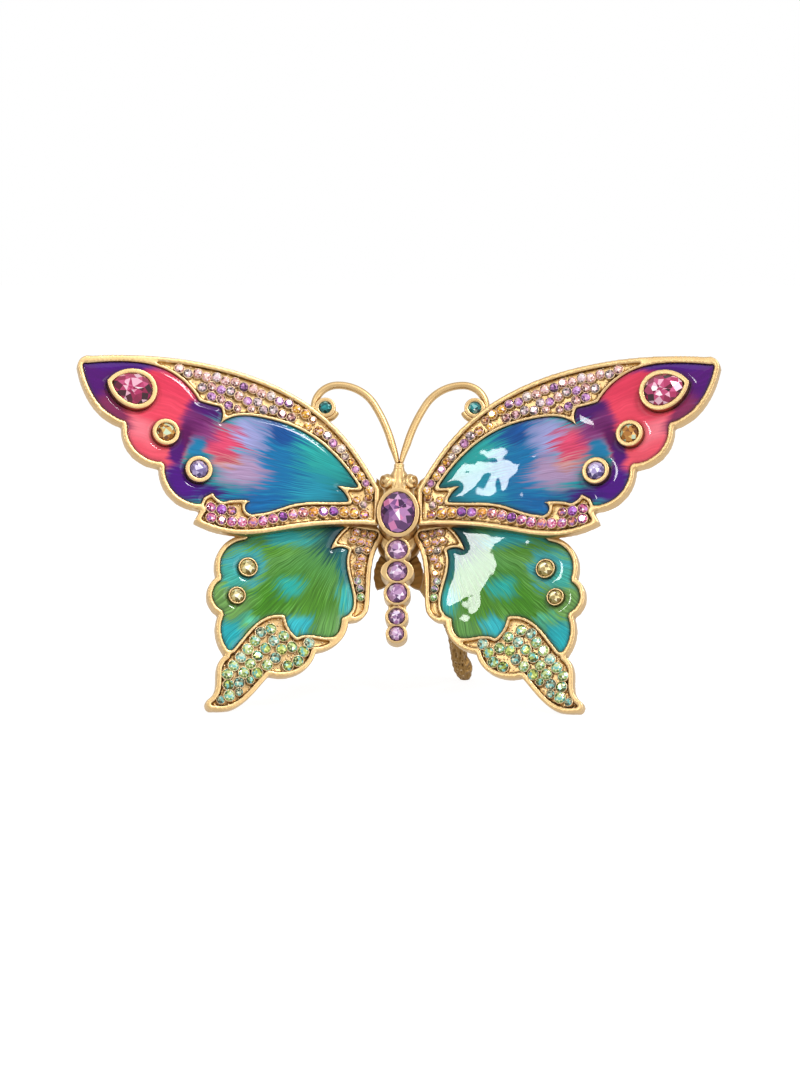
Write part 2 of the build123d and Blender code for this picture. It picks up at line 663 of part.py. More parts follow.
def prop_leg(foot, swing):
    """The leg from its eye on the pivot down to the foot, which the table then cuts flat."""
    eye_top = THORAX_BACK - SOLDER_GAP - BRACKET_THICKNESS - SOLDER_GAP
    eye_low = eye_top - LEG_EYE_THICKNESS
    eye = rod(LEG_EYE_D, 0, PIVOT_Y, eye_low, eye_top)
    half = LEG_NECK_WIDTH / 2
    end = -LEG_NECK_LENGTH
    bar = Face(Wire.make_polygon([(-half, 0), (-half, end), (half, end), (half, 0)]))
    neck = Pos(0, PIVOT_Y, 0) * Rot(Z=math.degrees(swing)) * slab(bar, eye_low, eye_top)
    start = Vector(0, PIVOT_Y, (eye_low + eye_top) / 2)
    start = start + Vector(math.sin(swing), -math.cos(swing), 0) * (LEG_NECK_LENGTH - LEG_EYE_THICKNESS / 2)
    spots = [start + (foot - start) * share + Vector(bulge, 0, 0) for share, bulge, thick in LEG_STATIONS]
    rings = []
    for k, (share, bulge, thick) in enumerate(LEG_STATIONS):
        ahead = spots[min(k + 1, len(spots) - 1)] - spots[max(k - 1, 0)]
        rings.append(Wire.make_circle(thick / 2, Plane(spots[k], z_dir=ahead)))
    leg = eye + neck + Solid.make_loft(rings)
    bore = rod(SCREW_SHANK_D + 2 * PIVOT_CLEARANCE, 0, PIVOT_Y, eye_low - LEG_EYE_D, eye_top)
    head_room = rod(SCREW_HEAD_D + 2 * PIVOT_CLEARANCE, 0, PIVOT_Y, eye_low - LEG_EYE_D, eye_low)
    return leg - bore - head_room


def pivot_screw():
    """The slotted screw that the leg's eye turns on."""
    seat = THORAX_BACK - 2 * SOLDER_GAP - BRACKET_THICKNESS - LEG_EYE_THICKNESS - SOLDER_GAP
    shank = rod(SCREW_SHANK_D, 0, PIVOT_Y, seat - SCREW_HEAD_HEIGHT, THORAX_BACK + SCREW_BITE)
    cap = rod(SCREW_HEAD_D, 0, PIVOT_Y, seat - SCREW_HEAD_HEIGHT, seat)
    half = SCREW_SLOT_WIDTH / 2
    slot_face = Face(Wire.make_polygon([
        (-SCREW_HEAD_D, PIVOT_Y - half), (SCREW_HEAD_D, PIVOT_Y - half),
        (SCREW_HEAD_D, PIVOT_Y + half), (-SCREW_HEAD_D, PIVOT_Y + half),
    ]))
    low = seat - SCREW_HEAD_HEIGHT
    return shank + cap - slab(slot_face, low, low + SCREW_SLOT_DEPTH)


def ornament():
    """Every piece by node name, standing on the table with the middle of the ornament's box at the origin."""
    lean = Rot(X=90 - LEAN)
    wings, slots = right_wings()
    table = (lean * wings["hindwing"]).bounding_box().min.Z + FOOT_FLAT
    sine = math.sin(math.radians(LEAN))
    cosine = math.cos(math.radians(LEAN))
    foot = Vector(LEG_FOOT_X, LEG_FOOT_BACK * sine + table * cosine, table * sine - LEG_FOOT_BACK * cosine)
    swing = math.atan2(foot.X, PIVOT_Y - foot.Y)

    pieces = body_parts(slots)
    pieces["head_casting"] = head()
    for name, shape in wings.items():
        pieces[name + "_right"] = shape
        pieces[name + "_left"] = mirror(shape, Plane.YZ)
    stem, crystal = antenna()
    for name, shape in (("antenna", stem), ("antenna_crystal", crystal)):
        pieces[name + "_right"] = shape
        pieces[name + "_left"] = mirror(shape, Plane.YZ)
    pieces["leaf_bracket"] = leaf_bracket(swing)
    pieces["prop_leg"] = prop_leg(foot, swing)
    pieces["pivot_screw"] = pivot_screw()

    stood = {name: lean * shape for name, shape in pieces.items()}
    span = Compound(list(stood.values())).bounding_box()
    corner = Plane((-span.size.X, -span.size.Y, table - 2 * span.size.Z))
    ground = Solid.make_box(*(span.size * 2), corner)
    for name in ("hindwing_left", "hindwing_right", "prop_leg"):
        stood[name] = stood[name] - ground
    span = Compound(list(stood.values())).bounding_box()
    home = Pos(-span.center().X, -span.center().Y, -span.min.Z)
    print("prop leg swings through", round(2 * math.degrees(swing), 2), "degrees")
    print("pivot at", home * lean * Pos(0, PIVOT_Y, THORAX_BACK))
    return {name: home * shape for name, shape in stood.items()}


os.makedirs("parts", exist_ok=True)
for node, piece in ornament().items():
    export_step(piece, "parts/" + node + ".step")
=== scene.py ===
"""A butterfly ornament: gilt castings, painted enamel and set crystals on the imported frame."""

import math
import random

import bmesh
import bpy
from bpy.props import FloatProperty, FloatVectorProperty, IntProperty, PointerProperty
from mathutils import Matrix, Vector, kdtree, noise


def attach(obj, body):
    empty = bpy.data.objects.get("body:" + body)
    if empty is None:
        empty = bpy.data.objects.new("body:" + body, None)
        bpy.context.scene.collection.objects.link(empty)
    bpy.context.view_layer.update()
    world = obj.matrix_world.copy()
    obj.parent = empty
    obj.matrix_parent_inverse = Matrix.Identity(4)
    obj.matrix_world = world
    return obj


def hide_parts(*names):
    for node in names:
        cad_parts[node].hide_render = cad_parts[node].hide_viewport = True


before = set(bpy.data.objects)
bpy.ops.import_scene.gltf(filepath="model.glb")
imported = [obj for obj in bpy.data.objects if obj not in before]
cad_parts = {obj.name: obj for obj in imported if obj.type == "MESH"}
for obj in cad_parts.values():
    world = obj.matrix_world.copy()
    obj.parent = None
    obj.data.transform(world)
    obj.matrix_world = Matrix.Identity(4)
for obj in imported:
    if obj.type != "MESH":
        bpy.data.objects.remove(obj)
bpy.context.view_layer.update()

bl_info = {
    "name": "Butterfly Ornament",
    "version": (1, 0, 0),
    "blender": (4, 5, 0),
    "location": "View3D > Sidebar > Butterfly",
    "description": "Dresses a butterfly ornament in gilt, enamel and crystal",
    "category": "Object",
}

MM = 0.001

# The wings and body stand in one leaning sheet, and each pair of wings is folded up from it.
LEAN = math.radians(24.0)
DIHEDRAL = math.radians(15.0)
SHEET_ORIGIN = Vector((0.0, 4.6986, 46.2397))
SHEET = Matrix.Rotation(math.pi / 2 - LEAN, 3, "X")
BODY, RIGHT, LEFT = 0, 1, -1
AXES = {BODY: SHEET.copy()}
for hand in (RIGHT, LEFT):
    out = Vector((hand * math.cos(DIHEDRAL), 0.0, math.sin(DIHEDRAL)))
    up = Vector((0.0, 1.0, 0.0))
    front = Vector((-hand * math.sin(DIHEDRAL), 0.0, math.cos(DIHEDRAL)))
    AXES[hand] = SHEET @ Matrix((out, up, front)).transposed()

HANDS = (("right", RIGHT), ("left", LEFT))
WINGS = ("forewing", "hindwing")


def linear(text):
    """A linear colour from an sRGB hex value."""
    channels = [int(text[k:k + 2], 16) / 255 for k in (1, 3, 5)]
    return [c / 12.92 if c <= 0.04045 else ((c + 0.055) / 1.055) ** 2.4 for c in channels]


def colour(text, name, description):
    """A colour that the panel shows, from its hex value."""
    return FloatVectorProperty(
        name=name, description=description, default=linear(text), subtype="COLOR", size=3, min=0.0, max=1.0)


def length(size, name, description):
    """A length that the panel shows, from its size in mm."""
    return FloatProperty(name=name, description=description, default=size * MM, unit="LENGTH", min=0.0)


class CastingSettings(bpy.types.PropertyGroup):
    wing_grain: length(0.3, "Wing grain", "Size of the mesh that the wings are eased on")
    small_grain: length(0.17, "Small grain", "Size of the mesh that small castings are eased on")
    ease: IntProperty(name="Ease", description="Passes that soften a casting's edges", default=5, min=0)
    gilt: colour("#C9AA79", "Gilt", "Satin gilt on open faces")
    patina: colour("#A27A40", "Patina", "Darker gilt left in the hollows")
    bronze: colour("#967444", "Bronze", "Satin bronze of the stand")
    bronze_dark: colour("#3C2610", "Dark bronze", "Patina in the hollows of the stand")
    bark: length(0.32, "Bark relief", "Depth of the bark on the leg's foot")


class EnamelSettings(bpy.types.PropertyGroup):
    grain: length(0.3, "Grain", "Size of the mesh that the glaze is drawn on")
    crown: FloatProperty(name="Crown", description="Rise of the glaze between its walls, in mm", default=0.3)
    rolled: FloatProperty(name="Rolled edge", description="Fall of the glaze at a wall, in mm", default=0.38)
    roll_width: FloatProperty(name="Roll width", description="Width of the rolled edge, in mm", default=1.5)
    ripple: FloatProperty(name="Ripple", description="Height of the glaze's unevenness, in mm", default=0.05)


class CrystalSettings(bpy.types.PropertyGroup):
    seed: IntProperty(name="Seed", description="Seed of the stones' turns and sparkle", default=11)
    table: FloatProperty(name="Table", description="Share of a stone that its flat top takes", default=0.56)
    lap: FloatProperty(name="Lap", description="A pave stone's width as a share of its seat's", default=1.1)
    grain_size: length(0.3, "Grain radius", "Radius of the gold grains between the pave stones")
    grain_gap: length(0.75, "Grain spacing", "Least distance between gold grains")
    grain_room: length(1.12, "Grain room", "Least distance from a grain to the middle of a stone")


class StageSettings(bpy.types.PropertyGroup):
    floor: colour("#F6F6F6", "Floor", "Colour of the floor")
    sky: FloatProperty(name="Sky", description="Strength of the even light", default=0.55, min=0.0)
    key: FloatProperty(name="Key", description="Power of the key softbox in watts", default=1.1, min=0.0)
    fill: FloatProperty(name="Fill", description="Power of the fill softbox in watts", default=2.6, min=0.0)
    top: FloatProperty(name="Top", description="Power of the top softbox in watts", default=1.4, min=0.0)
    window: FloatProperty(name="Window", description="Power of the window in watts", default=4.6, min=0.0)
    distance: length(700.0, "Distance", "Distance from the camera to the thorax")


def side_of(name):
    """The plane that a node lies in: a wing's, or the body's for all else."""
    if name.startswith("antenna"):
        return BODY
    if name.endswith("_right"):
        return RIGHT
    if name.endswith("_left"):
        return LEFT
    return BODY


def to_plane(point, side):
    """A point of the scene in mm on a plane: across, up and out of it."""
    return AXES[side].transposed() @ (point / MM - SHEET_ORIGIN)


def from_plane(point, side):
    return (AXES[side] @ Vector(point) + SHEET_ORIGIN) * MM


def seat_turn(side):
    """The turn that lays a stone on a plane with its top outwards."""
    axes = AXES[side].copy()
    if side == LEFT:
        axes.col[0] = -axes.col[0]
    return axes


def merged(name):
    """A copy of a node's mesh with its loose triangles joined."""
    bm = bmesh.new()
    bm.from_mesh(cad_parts[name].data)
    bmesh.ops.remove_doubles(bm, verts=bm.verts, dist=0.001 * MM)
    return bm


def islands(name):
    """The points of each separate solid of a node, in mm on its plane."""
    side = side_of(name)
    bm = merged(name)
    left = set(bm.verts)
    groups = []
    while left:
        stack = [min(left, key=lambda vert: vert.index)]
        left.discard(stack[0])
        group = []
        while stack:
            vert = stack.pop()
            group.append(to_plane(vert.co, side))
            for edge in vert.link_edges:
                other = edge.other_vert(vert)
                if other in left:
                    left.discard(other)
                    stack.append(other)
        groups.append(group)
    bm.free()
    return groups


def span(points, axis):
    return min(p[axis] for p in points), max(p[axis] for p in points)


def clamp(share):
    return min(1.0, max(0.0, share))


def new_piece(context, name, mesh):
    piece = bpy.data.objects.new(name, mesh)
    context.scene.collection.objects.link(piece)
    return piece


def settle(context, piece):
    """Turns a piece's modifiers into plain mesh."""
    graph = context.evaluated_depsgraph_get()
    mesh = bpy.data.meshes.new_from_object(
        piece.evaluated_get(graph), preserve_all_data_layers=True, depsgraph=graph)
    old = piece.data
    piece.modifiers.clear()
    piece.data = mesh
    bpy.data.meshes.remove(old)
    mesh.name = piece.name


def mark(mesh, marks):
    """Gives a mesh's points named numbers or vectors for its material and its node trees to read."""
    for name, values in marks.items():
        if isinstance(values[0], float):
            mesh.attributes.new(name, "FLOAT", "POINT").data.foreach_set("value", values)
        else:
            flat = [number for value in values for number in value]
            mesh.attributes.new(name, "FLOAT_VECTOR", "POINT").data.foreach_set("vector", flat)


def place(piece, solid, body, material):
    """Makes a piece stand for a node of the frame, ride on its body and wear its material."""
    piece.data.materials.clear()
    piece.data.materials.append(material)
    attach(piece, body)
    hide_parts(solid)


def eased(context, solid, grain, passes):
    """A copy of a node of the frame on an even fine mesh, with its edges softened as by polishing."""
    bm = merged(solid)
    mesh = bpy.data.meshes.new(solid + "_cast")
    bm.to_mesh(mesh)
    bm.free()
    piece = new_piece(context, solid + "_cast", mesh)
    voxels = piece.modifiers.new("Voxels", "REMESH")
    voxels.mode = "VOXEL"
    voxels.voxel_size = grain
    softer = piece.modifiers.new("Softer", "SMOOTH")
    softer.factor = 0.5
    softer.iterations = passes
    settle(context, piece)
    piece.data.shade_smooth()
    return piece


def node(tree, kind, inputs=None, stops=None, **settings):
    """Adds a node with its settings, and sets or links its inputs."""
    made = tree.nodes.new(kind)
    for name, value in settings.items():
        setattr(made, name, value)
    for key, value in (inputs or {}).items():
        if isinstance(value, bpy.types.NodeSocket):
            tree.links.new(value, made.inputs[key])
        else:
            made.inputs[key].default_value = value
    if stops:
        ramp = made.color_ramp
        while len(ramp.elements) < len(stops):
            ramp.elements.new(1.0)
        for element, (at, tone) in zip(ramp.elements, stops):
            element.position = at
            element.color = (*tone, 1.0)
    return made


def new_material(name):
    material = bpy.data.materials.new(name)
    material.use_nodes = True
    tree = material.node_tree
    tree.nodes.clear()
    shader = node(tree, "ShaderNodeBsdfPrincipled")
    node(tree, "ShaderNodeOutputMaterial", {"Surface": shader.outputs["BSDF"]})
    return material, tree, shader


def satin_metal(name, face, hollow, rough, grain, relief):
    """Cast metal under satin plating: pale on open faces and worn edges, brown in the hollows.

    grain is the size of the cast texture in mm, and relief is its depth in mm.
    """
    material, tree, shader = new_material(name)
    place_in = node(tree, "ShaderNodeTexCoord").outputs["Object"]
    shape = node(tree, "ShaderNodeNewGeometry").outputs["Pointiness"]
    cloud = node(tree, "ShaderNodeTexNoise", {"Vector": place_in, "Scale": 1 / (5.0 * MM), "Detail": 4.0})
    cast = node(tree, "ShaderNodeTexNoise", {"Vector": place_in, "Scale": 1 / (grain * MM), "Detail": 3.0})
    deep = node(tree, "ShaderNodeMapRange", {
        "Value": shape, "From Min": 0.452, "From Max": 0.503, "To Min": 1.0, "To Max": 0.0})
    stain = node(tree, "ShaderNodeMapRange", {
        "Value": cloud.outputs["Fac"], "From Min": 0.4, "From Max": 0.75, "To Min": 0.0, "To Max": 0.3})
    both = node(tree, "ShaderNodeMath", {0: deep.outputs[0], 1: stain.outputs[0]}, operation="MAXIMUM")
    tone = node(tree, "ShaderNodeMix", {
        "Factor": both.outputs[0], 6: (*face, 1.0), 7: (*hollow, 1.0)}, data_type="RGBA")
    worn = node(tree, "ShaderNodeMapRange", {
        "Value": shape, "From Min": 0.52, "From Max": 0.6, "To Min": 0.0, "To Max": 0.35})
    lit = node(tree, "ShaderNodeMix", {
        "Factor": worn.outputs[0], 6: tone.outputs[2], 7: (0.9, 0.78, 0.58, 1.0)}, data_type="RGBA")
    gloss = node(tree, "ShaderNodeMapRange", {
        "Value": cast.outputs["Fac"], "To Min": rough - 0.08, "To Max": rough + 0.1})
    bump = node(tree, "ShaderNodeBump", {
        "Height": cast.outputs["Fac"], "Strength": 0.5, "Distance": relief * MM})
    tree.links.new(lit.outputs[2], shader.inputs["Base Color"])
    tree.links.new(gloss.outputs[0], shader.inputs["Roughness"])
    tree.links.new(bump.outputs[0], shader.inputs["Normal"])
    shader.inputs["Metallic"].default_value = 1.0
    return material


# The enamel's brush marks, in cycles per mm along and across the stroke: a wash's edge and single hairs
DRAG_PITCH = (0.09, 0.9, 1.0)
HAIR_PITCH = (0.11, 3.0, 1.0)
# How far a wash is dragged along and across the wing, and the size and pull of its pools, in mm
DRAG_REACH = (9.0, 4.0, 0.0)
POOL_SIZE = 7.0
POOL_PULL = (4.0, 4.0, 0.0)
# Where the brush marks fade on the forewing, in mm from its root, because its tip was laid on flat
FLAT_FROM, FLAT_TO = 46.0, 54.0


def painted_enamel(name, ground, washes, streak, sway):
    """Hard enamel, painted in brushed washes and fired to a deep gloss.

    Each wash is its middle and its half sizes in mm on the wing, its turn in degrees, its softness and its
    colour. The washes lie in order over the ground, and the brush has dragged their edges along the strokes.
    streak is the strength of the brush marks, and sway is how far they wander, in mm.
    """
    material, tree, shader = new_material(name)
    wing = node(tree, "ShaderNodeAttribute", attribute_name="wing").outputs["Vector"]
    stroke = node(tree, "ShaderNodeAttribute", attribute_name="stroke").outputs["Vector"]
    edge = node(tree, "ShaderNodeAttribute", attribute_name="edge").outputs["Fac"]
    across = node(tree, "ShaderNodeSeparateXYZ", {"Vector": wing}).outputs["X"]
    held = node(tree, "ShaderNodeMapRange", {
        "Value": across, "From Min": FLAT_FROM, "From Max": FLAT_TO, "To Min": 1.0, "To Max": 0.3}).outputs[0]
    pool = node(tree, "ShaderNodeTexNoise", {"Vector": wing, "Scale": 1 / POOL_SIZE, "Detail": 1.5})
    pool = node(tree, "ShaderNodeVectorMath", {
        0: pool.outputs["Color"], 1: (0.5, 0.5, 0.5)}, operation="SUBTRACT").outputs[0]
    bend = node(tree, "ShaderNodeVectorMath", {
        0: pool, 1: (2.0, sway, 0.0), 2: stroke}, operation="MULTIPLY_ADD")
    drawn = node(tree, "ShaderNodeVectorMath", {0: bend.outputs[0], 1: DRAG_PITCH}, operation="MULTIPLY")
    drag = node(tree, "ShaderNodeTexNoise", {"Vector": drawn.outputs[0], "Scale": 1.0, "Detail": 3.0})
    shift = node(tree, "ShaderNodeVectorMath", {
        0: drag.outputs["Color"], 1: (0.5, 0.5, 0.5)}, operation="SUBTRACT")
    shift = node(tree, "ShaderNodeVectorMath", {0: shift.outputs[0], 1: DRAG_REACH}, operation="MULTIPLY")
    shift = node(tree, "ShaderNodeVectorMath", {0: shift.outputs[0], "Scale": held}, operation="SCALE")
    brushed = node(tree, "ShaderNodeVectorMath", {0: wing, 1: shift.outputs[0]}, operation="ADD")
    brushed = node(tree, "ShaderNodeVectorMath", {
        0: pool, 1: POOL_PULL, 2: brushed.outputs[0]}, operation="MULTIPLY_ADD")
    fine = node(tree, "ShaderNodeVectorMath", {0: bend.outputs[0], 1: HAIR_PITCH}, operation="MULTIPLY")
    hairs = node(tree, "ShaderNodeTexNoise", {
        "Vector": fine.outputs[0], "Scale": 1.0, "Detail": 5.0}).outputs["Fac"]
    ruffle = node(tree, "ShaderNodeMapRange", {
        "Value": hairs, "From Min": 0.3, "From Max": 0.7, "To Min": -0.45, "To Max": 0.45})
    ruffle = node(tree, "ShaderNodeMath", {0: ruffle.outputs[0], 1: held}, operation="MULTIPLY").outputs[0]
    tone = (*linear(ground), 1.0)
    for u, v, half_u, half_v, turn, soft, shade in washes:
        local = node(tree, "ShaderNodeMapping", {
            "Vector": brushed.outputs[0], "Location": (u, v, 0.0), "Rotation": (0.0, 0.0, math.radians(turn)),
            "Scale": (half_u, half_v, 1.0)}, vector_type="TEXTURE")
        reach = node(tree, "ShaderNodeVectorMath", {0: local.outputs[0]}, operation="LENGTH")
        reach = node(tree, "ShaderNodeMath", {0: reach.outputs["Value"], 1: ruffle}, operation="ADD")
        cover = node(tree, "ShaderNodeMapRange", {
            "Value": reach.outputs[0], "From Min": 1.0 + soft, "From Max": 1.0 - soft},
            interpolation_type="SMOOTHSTEP")
        tone = node(tree, "ShaderNodeMix", {
            "Factor": cover.outputs[0], 6: tone, 7: (*linear(shade), 1.0)}, data_type="RGBA").outputs[2]
    shade = node(tree, "ShaderNodeMapRange", {
        "Value": hairs, "From Min": 0.28, "From Max": 0.72,
        "To Min": 1.0 - streak, "To Max": 1.0 + 0.8 * streak})
    tone = node(tree, "ShaderNodeMix", {
        "Factor": held, 6: tone, 7: shade.outputs[0]}, data_type="RGBA", blend_type="MULTIPLY").outputs[2]
    light = node(tree, "ShaderNodeMapRange", {
        "Value": hairs, "From Min": 0.56, "From Max": 0.76, "To Max": 0.5 * streak})
    tone = node(tree, "ShaderNodeMix", {
        "Factor": light.outputs[0], 6: tone, 7: (1.0, 1.0, 1.0, 1.0)},
        data_type="RGBA", blend_type="SOFT_LIGHT").outputs[2]
    # Painted shade: the glaze darkens towards near black close to its walls, where its rolled edge meets the
    # metal
    rim = node(tree, "ShaderNodeMapRange", {
        "Value": edge, "From Min": 0.1, "From Max": 0.8, "To Min": 0.5, "To Max": 0.0})
    tone = node(tree, "ShaderNodeMix", {
        "Factor": rim.outputs[0], 6: tone, 7: (0.02, 0.03, 0.05, 1.0)}, data_type="RGBA").outputs[2]
    tree.links.new(tone, shader.inputs["Base Color"])
    shader.inputs["Roughness"].default_value = 0.5
    shader.inputs["Specular IOR Level"].default_value = 0.0
    shader.inputs["Coat Weight"].default_value = 1.0
    shader.inputs["Coat IOR"].default_value = 1.34
    shader.inputs["Coat Roughness"].default_value = 0.025
    return material


# What turns a stone's or a facet's one random number into a second one that looks unlike it
STONE_REDRAW, FACET_REDRAW = 23.7, 17.3
# The stones of a field that take each odd tint, by that second number, and how strongly
ODD_BELOW, ODD_ABOVE, ODD_STRENGTH = 0.2, 0.76, 0.6
# How strongly the painted reflection takes over a facet
PAINTED_REFLECTION_STRENGTH = 0.7


def cut_crystal(name, tones, root_tones, painted_reflection_tint, painted_reflection_share, odd=()):
    """Cut glass with its sparkle painted in: each facet takes a painted shade, the stone's colour or a painted
    highlight, some a painted reflection of another tint.

    tones run from the painted shade through the stone's colour to the painted highlight, and root_tones take
    over towards the root of a wing. odd gives the two tints that some of the stones of a field take from their
    coating.
    """
    material, tree, shader = new_material(name)
    facet = node(tree, "ShaderNodeAttribute", attribute_name="facet").outputs["Fac"]
    stone = node(tree, "ShaderNodeAttribute", attribute_name="stone").outputs["Fac"]
    along = node(tree, "ShaderNodeAttribute", attribute_name="along").outputs["Fac"]
    offset = node(tree, "ShaderNodeMapRange", {"Value": stone, "To Min": -0.36, "To Max": 0.24})
    share = node(tree, "ShaderNodeMath", {0: facet, 1: offset.outputs[0]}, operation="ADD").outputs[0]
    ramps = []
    for dark, middle, bright in (tones, root_tones):
        # Painted light: dark facets take painted shade, bright ones a painted highlight, and the brightest run
        # to near white
        stops = (
            (0.12, linear(dark)), (0.42, linear(middle)), (0.82, linear(bright)), (1.0, (0.95, 0.92, 0.94)))
        ramps.append(node(tree, "ShaderNodeValToRGB", {"Fac": share}, stops=stops).outputs["Color"])
    mixed = node(tree, "ShaderNodeMath", {0: stone, 1: 0.9, 2: along}, operation="MULTIPLY_ADD")
    near = node(tree, "ShaderNodeMapRange", {
        "Value": mixed.outputs[0], "From Min": 0.75, "From Max": 0.95})
    tone = node(tree, "ShaderNodeMix", {
        "Factor": near.outputs[0], 6: ramps[0], 7: ramps[1]}, data_type="RGBA").outputs[2]
    if odd:
        lot = node(tree, "ShaderNodeMath", {0: stone, 1: STONE_REDRAW}, operation="MULTIPLY")
        lot = node(tree, "ShaderNodeMath", {0: lot.outputs[0]}, operation="FRACT").outputs[0]
        for tint, limit, side in zip(odd, (ODD_BELOW, ODD_ABOVE), ("LESS_THAN", "GREATER_THAN")):
            drawn = node(tree, "ShaderNodeMath", {0: lot, 1: limit}, operation=side)
            drawn = node(tree, "ShaderNodeMath", {
                0: drawn.outputs[0], 1: ODD_STRENGTH}, operation="MULTIPLY")
            tone = node(tree, "ShaderNodeMix", {
                "Factor": drawn.outputs[0], 6: tone, 7: (*linear(tint), 1.0)},
                data_type="RGBA", blend_type="COLOR").outputs[2]
    # Painted reflection: some facets, picked by a second draw from their number, take the painted reflection's
    # tint
    second = node(tree, "ShaderNodeMath", {0: share, 1: FACET_REDRAW}, operation="MULTIPLY")
    second = node(tree, "ShaderNodeMath", {0: second.outputs[0]}, operation="FRACT")
    painted_reflection = node(tree, "ShaderNodeMath", {
        0: second.outputs[0], 1: 1.0 - painted_reflection_share}, operation="GREATER_THAN")
    painted_reflection = node(tree, "ShaderNodeMath", {0: painted_reflection.outputs[0], 1: PAINTED_REFLECTION_STRENGTH}, operation="MULTIPLY")
    tone = node(tree, "ShaderNodeMix", {
        "Factor": painted_reflection.outputs[0], 6: tone, 7: (*linear(painted_reflection_tint), 1.0)}, data_type="RGBA").outputs[2]
    tree.links.new(tone, shader.inputs["Base Color"])
    shader.inputs["Metallic"].default_value = 0.25
    shader.inputs["Roughness"].default_value = 0.1
    shader.inputs["IOR"].default_value = 1.54
    return material


# An antenna's stem, in mm: what easing takes off it, and how its foot is drawn in to the middle
STEM_FILL = 0.13
STEM_FOOT_TOP = 17.5
STEM_FOOT_LENGTH = 5.0
STEM_DRAW = 0.42
# The rolled lip of an antenna's cup, in mm: where it starts, how far it reaches and how far it is pushed
LIP_START = 0.12
LIP_REACH = 1.6
LIP_PUSH = 0.55


class BUTTERFLY_OT_castings(bpy.types.Operator):
    """Dress the wings, body, antennae and stone cups in satin gilt"""
    bl_idname = "butterfly.castings"
    bl_label = "Gilt castings"

    def execute(self, context):
        settings = context.scene.butterfly_castings
        gilt = satin_metal(
            "satin_gilt_casting", settings.gilt, settings.patina, rough=0.36, grain=0.55, relief=0.035)
        for wing in WINGS:
            for hand, _ in HANDS:
                name = wing + "_" + hand
                piece = eased(context, name, settings.wing_grain, settings.ease)
                place(piece, name, "butterfly", gilt)
        small = [("body_casting", settings.small_grain, settings.ease + 3)]
        for hand, _ in HANDS:
            for cup in ("pear_bezel", "amber_bezel", "lilac_bezel"):
                small.append((cup + "_" + hand, settings.small_grain, settings.ease + 3))
            small.append(("antenna_" + hand, settings.small_grain * 0.6, 9))
            small.append(("citrine_bezels_" + hand, settings.small_grain * 0.6, 3))
        for name, grain, passes in small:
            piece = eased(context, name, grain, passes)
            if name.startswith("antenna"):
                self.roll_cup(piece.data, islands(name.replace("antenna", "antenna_crystal"))[0])
                self.draw_in(piece.data)
            place(piece, name, "butterfly", gilt)
        return {"FINISHED"}

    def draw_in(self, mesh):
        """Gives an antenna back what easing took off it, and draws its foot in to the middle."""
        normals = [vert.normal.copy() for vert in mesh.vertices]
        for vert, normal in zip(mesh.vertices, normals):
            at = to_plane(vert.co + normal * STEM_FILL * MM, BODY)
            at.x *= 1.0 - STEM_DRAW * clamp((STEM_FOOT_TOP - at.y) / STEM_FOOT_LENGTH) ** 1.5
            vert.co = from_plane(at, BODY)

    def roll_cup(self, mesh, stone):
        """Rolls the lip of an antenna's cup outwards into a rounded ring about its stone."""
        left, right = span(stone, 0)
        below, above = span(stone, 1)
        low = span(stone, 2)[0]
        centre = Vector(((left + right) / 2, (below + above) / 2, 0.0))
        inner = (right - left) / 2 + LIP_START
        for vert in mesh.vertices:
            at = to_plane(vert.co, BODY)
            away = Vector((at.x, at.y, 0.0)) - centre
            past = away.length - inner
            if 0.0 < past < LIP_REACH and at.z > low - 0.6:
                push = LIP_PUSH * min(1.0, past / 0.25) * (1.0 - past / LIP_REACH)
                at += away.normalized() * push
                vert.co = from_plane(at, BODY)
        mesh.update()


# The head's eyes, in mm on the body's plane, and the scroll carved on them
EYE_X, EYE_Y, EYE_Z = 2.65, 7.0, 0.6
EYE_REACH = 2.3
EYE_INNER_X = 1.9
EYE_FACING = (0.62, 0.1, 0.78)
SCROLL_RELIEF = 0.16
SCROLL_PITCH = 0.8
# The two brow ridges, which part on both sides of BROW_Y, the collar under the antennae, and how far the
# face between them reaches back and is sunk
BROW_X, BROW_Y, BROW_PARTING = 0.75, 9.4, 0.16
BROW_WIDTH, BROW_RELIEF = 0.25, 0.2
COLLAR_Y, COLLAR_WIDTH, COLLAR_RELIEF = 10.9, 0.3, 0.16
FACE_BACK, FACE_SINK = -0.3, 0.1
# The neck narrows above NECK_Y, and the cheeks swell about CHEEK_Y
NECK_Y, NECK_LENGTH, NECK_DRAW = 8.6, 2.6, 0.3
CHEEK_Y, CHEEK_SWELL = 9.3, 0.55


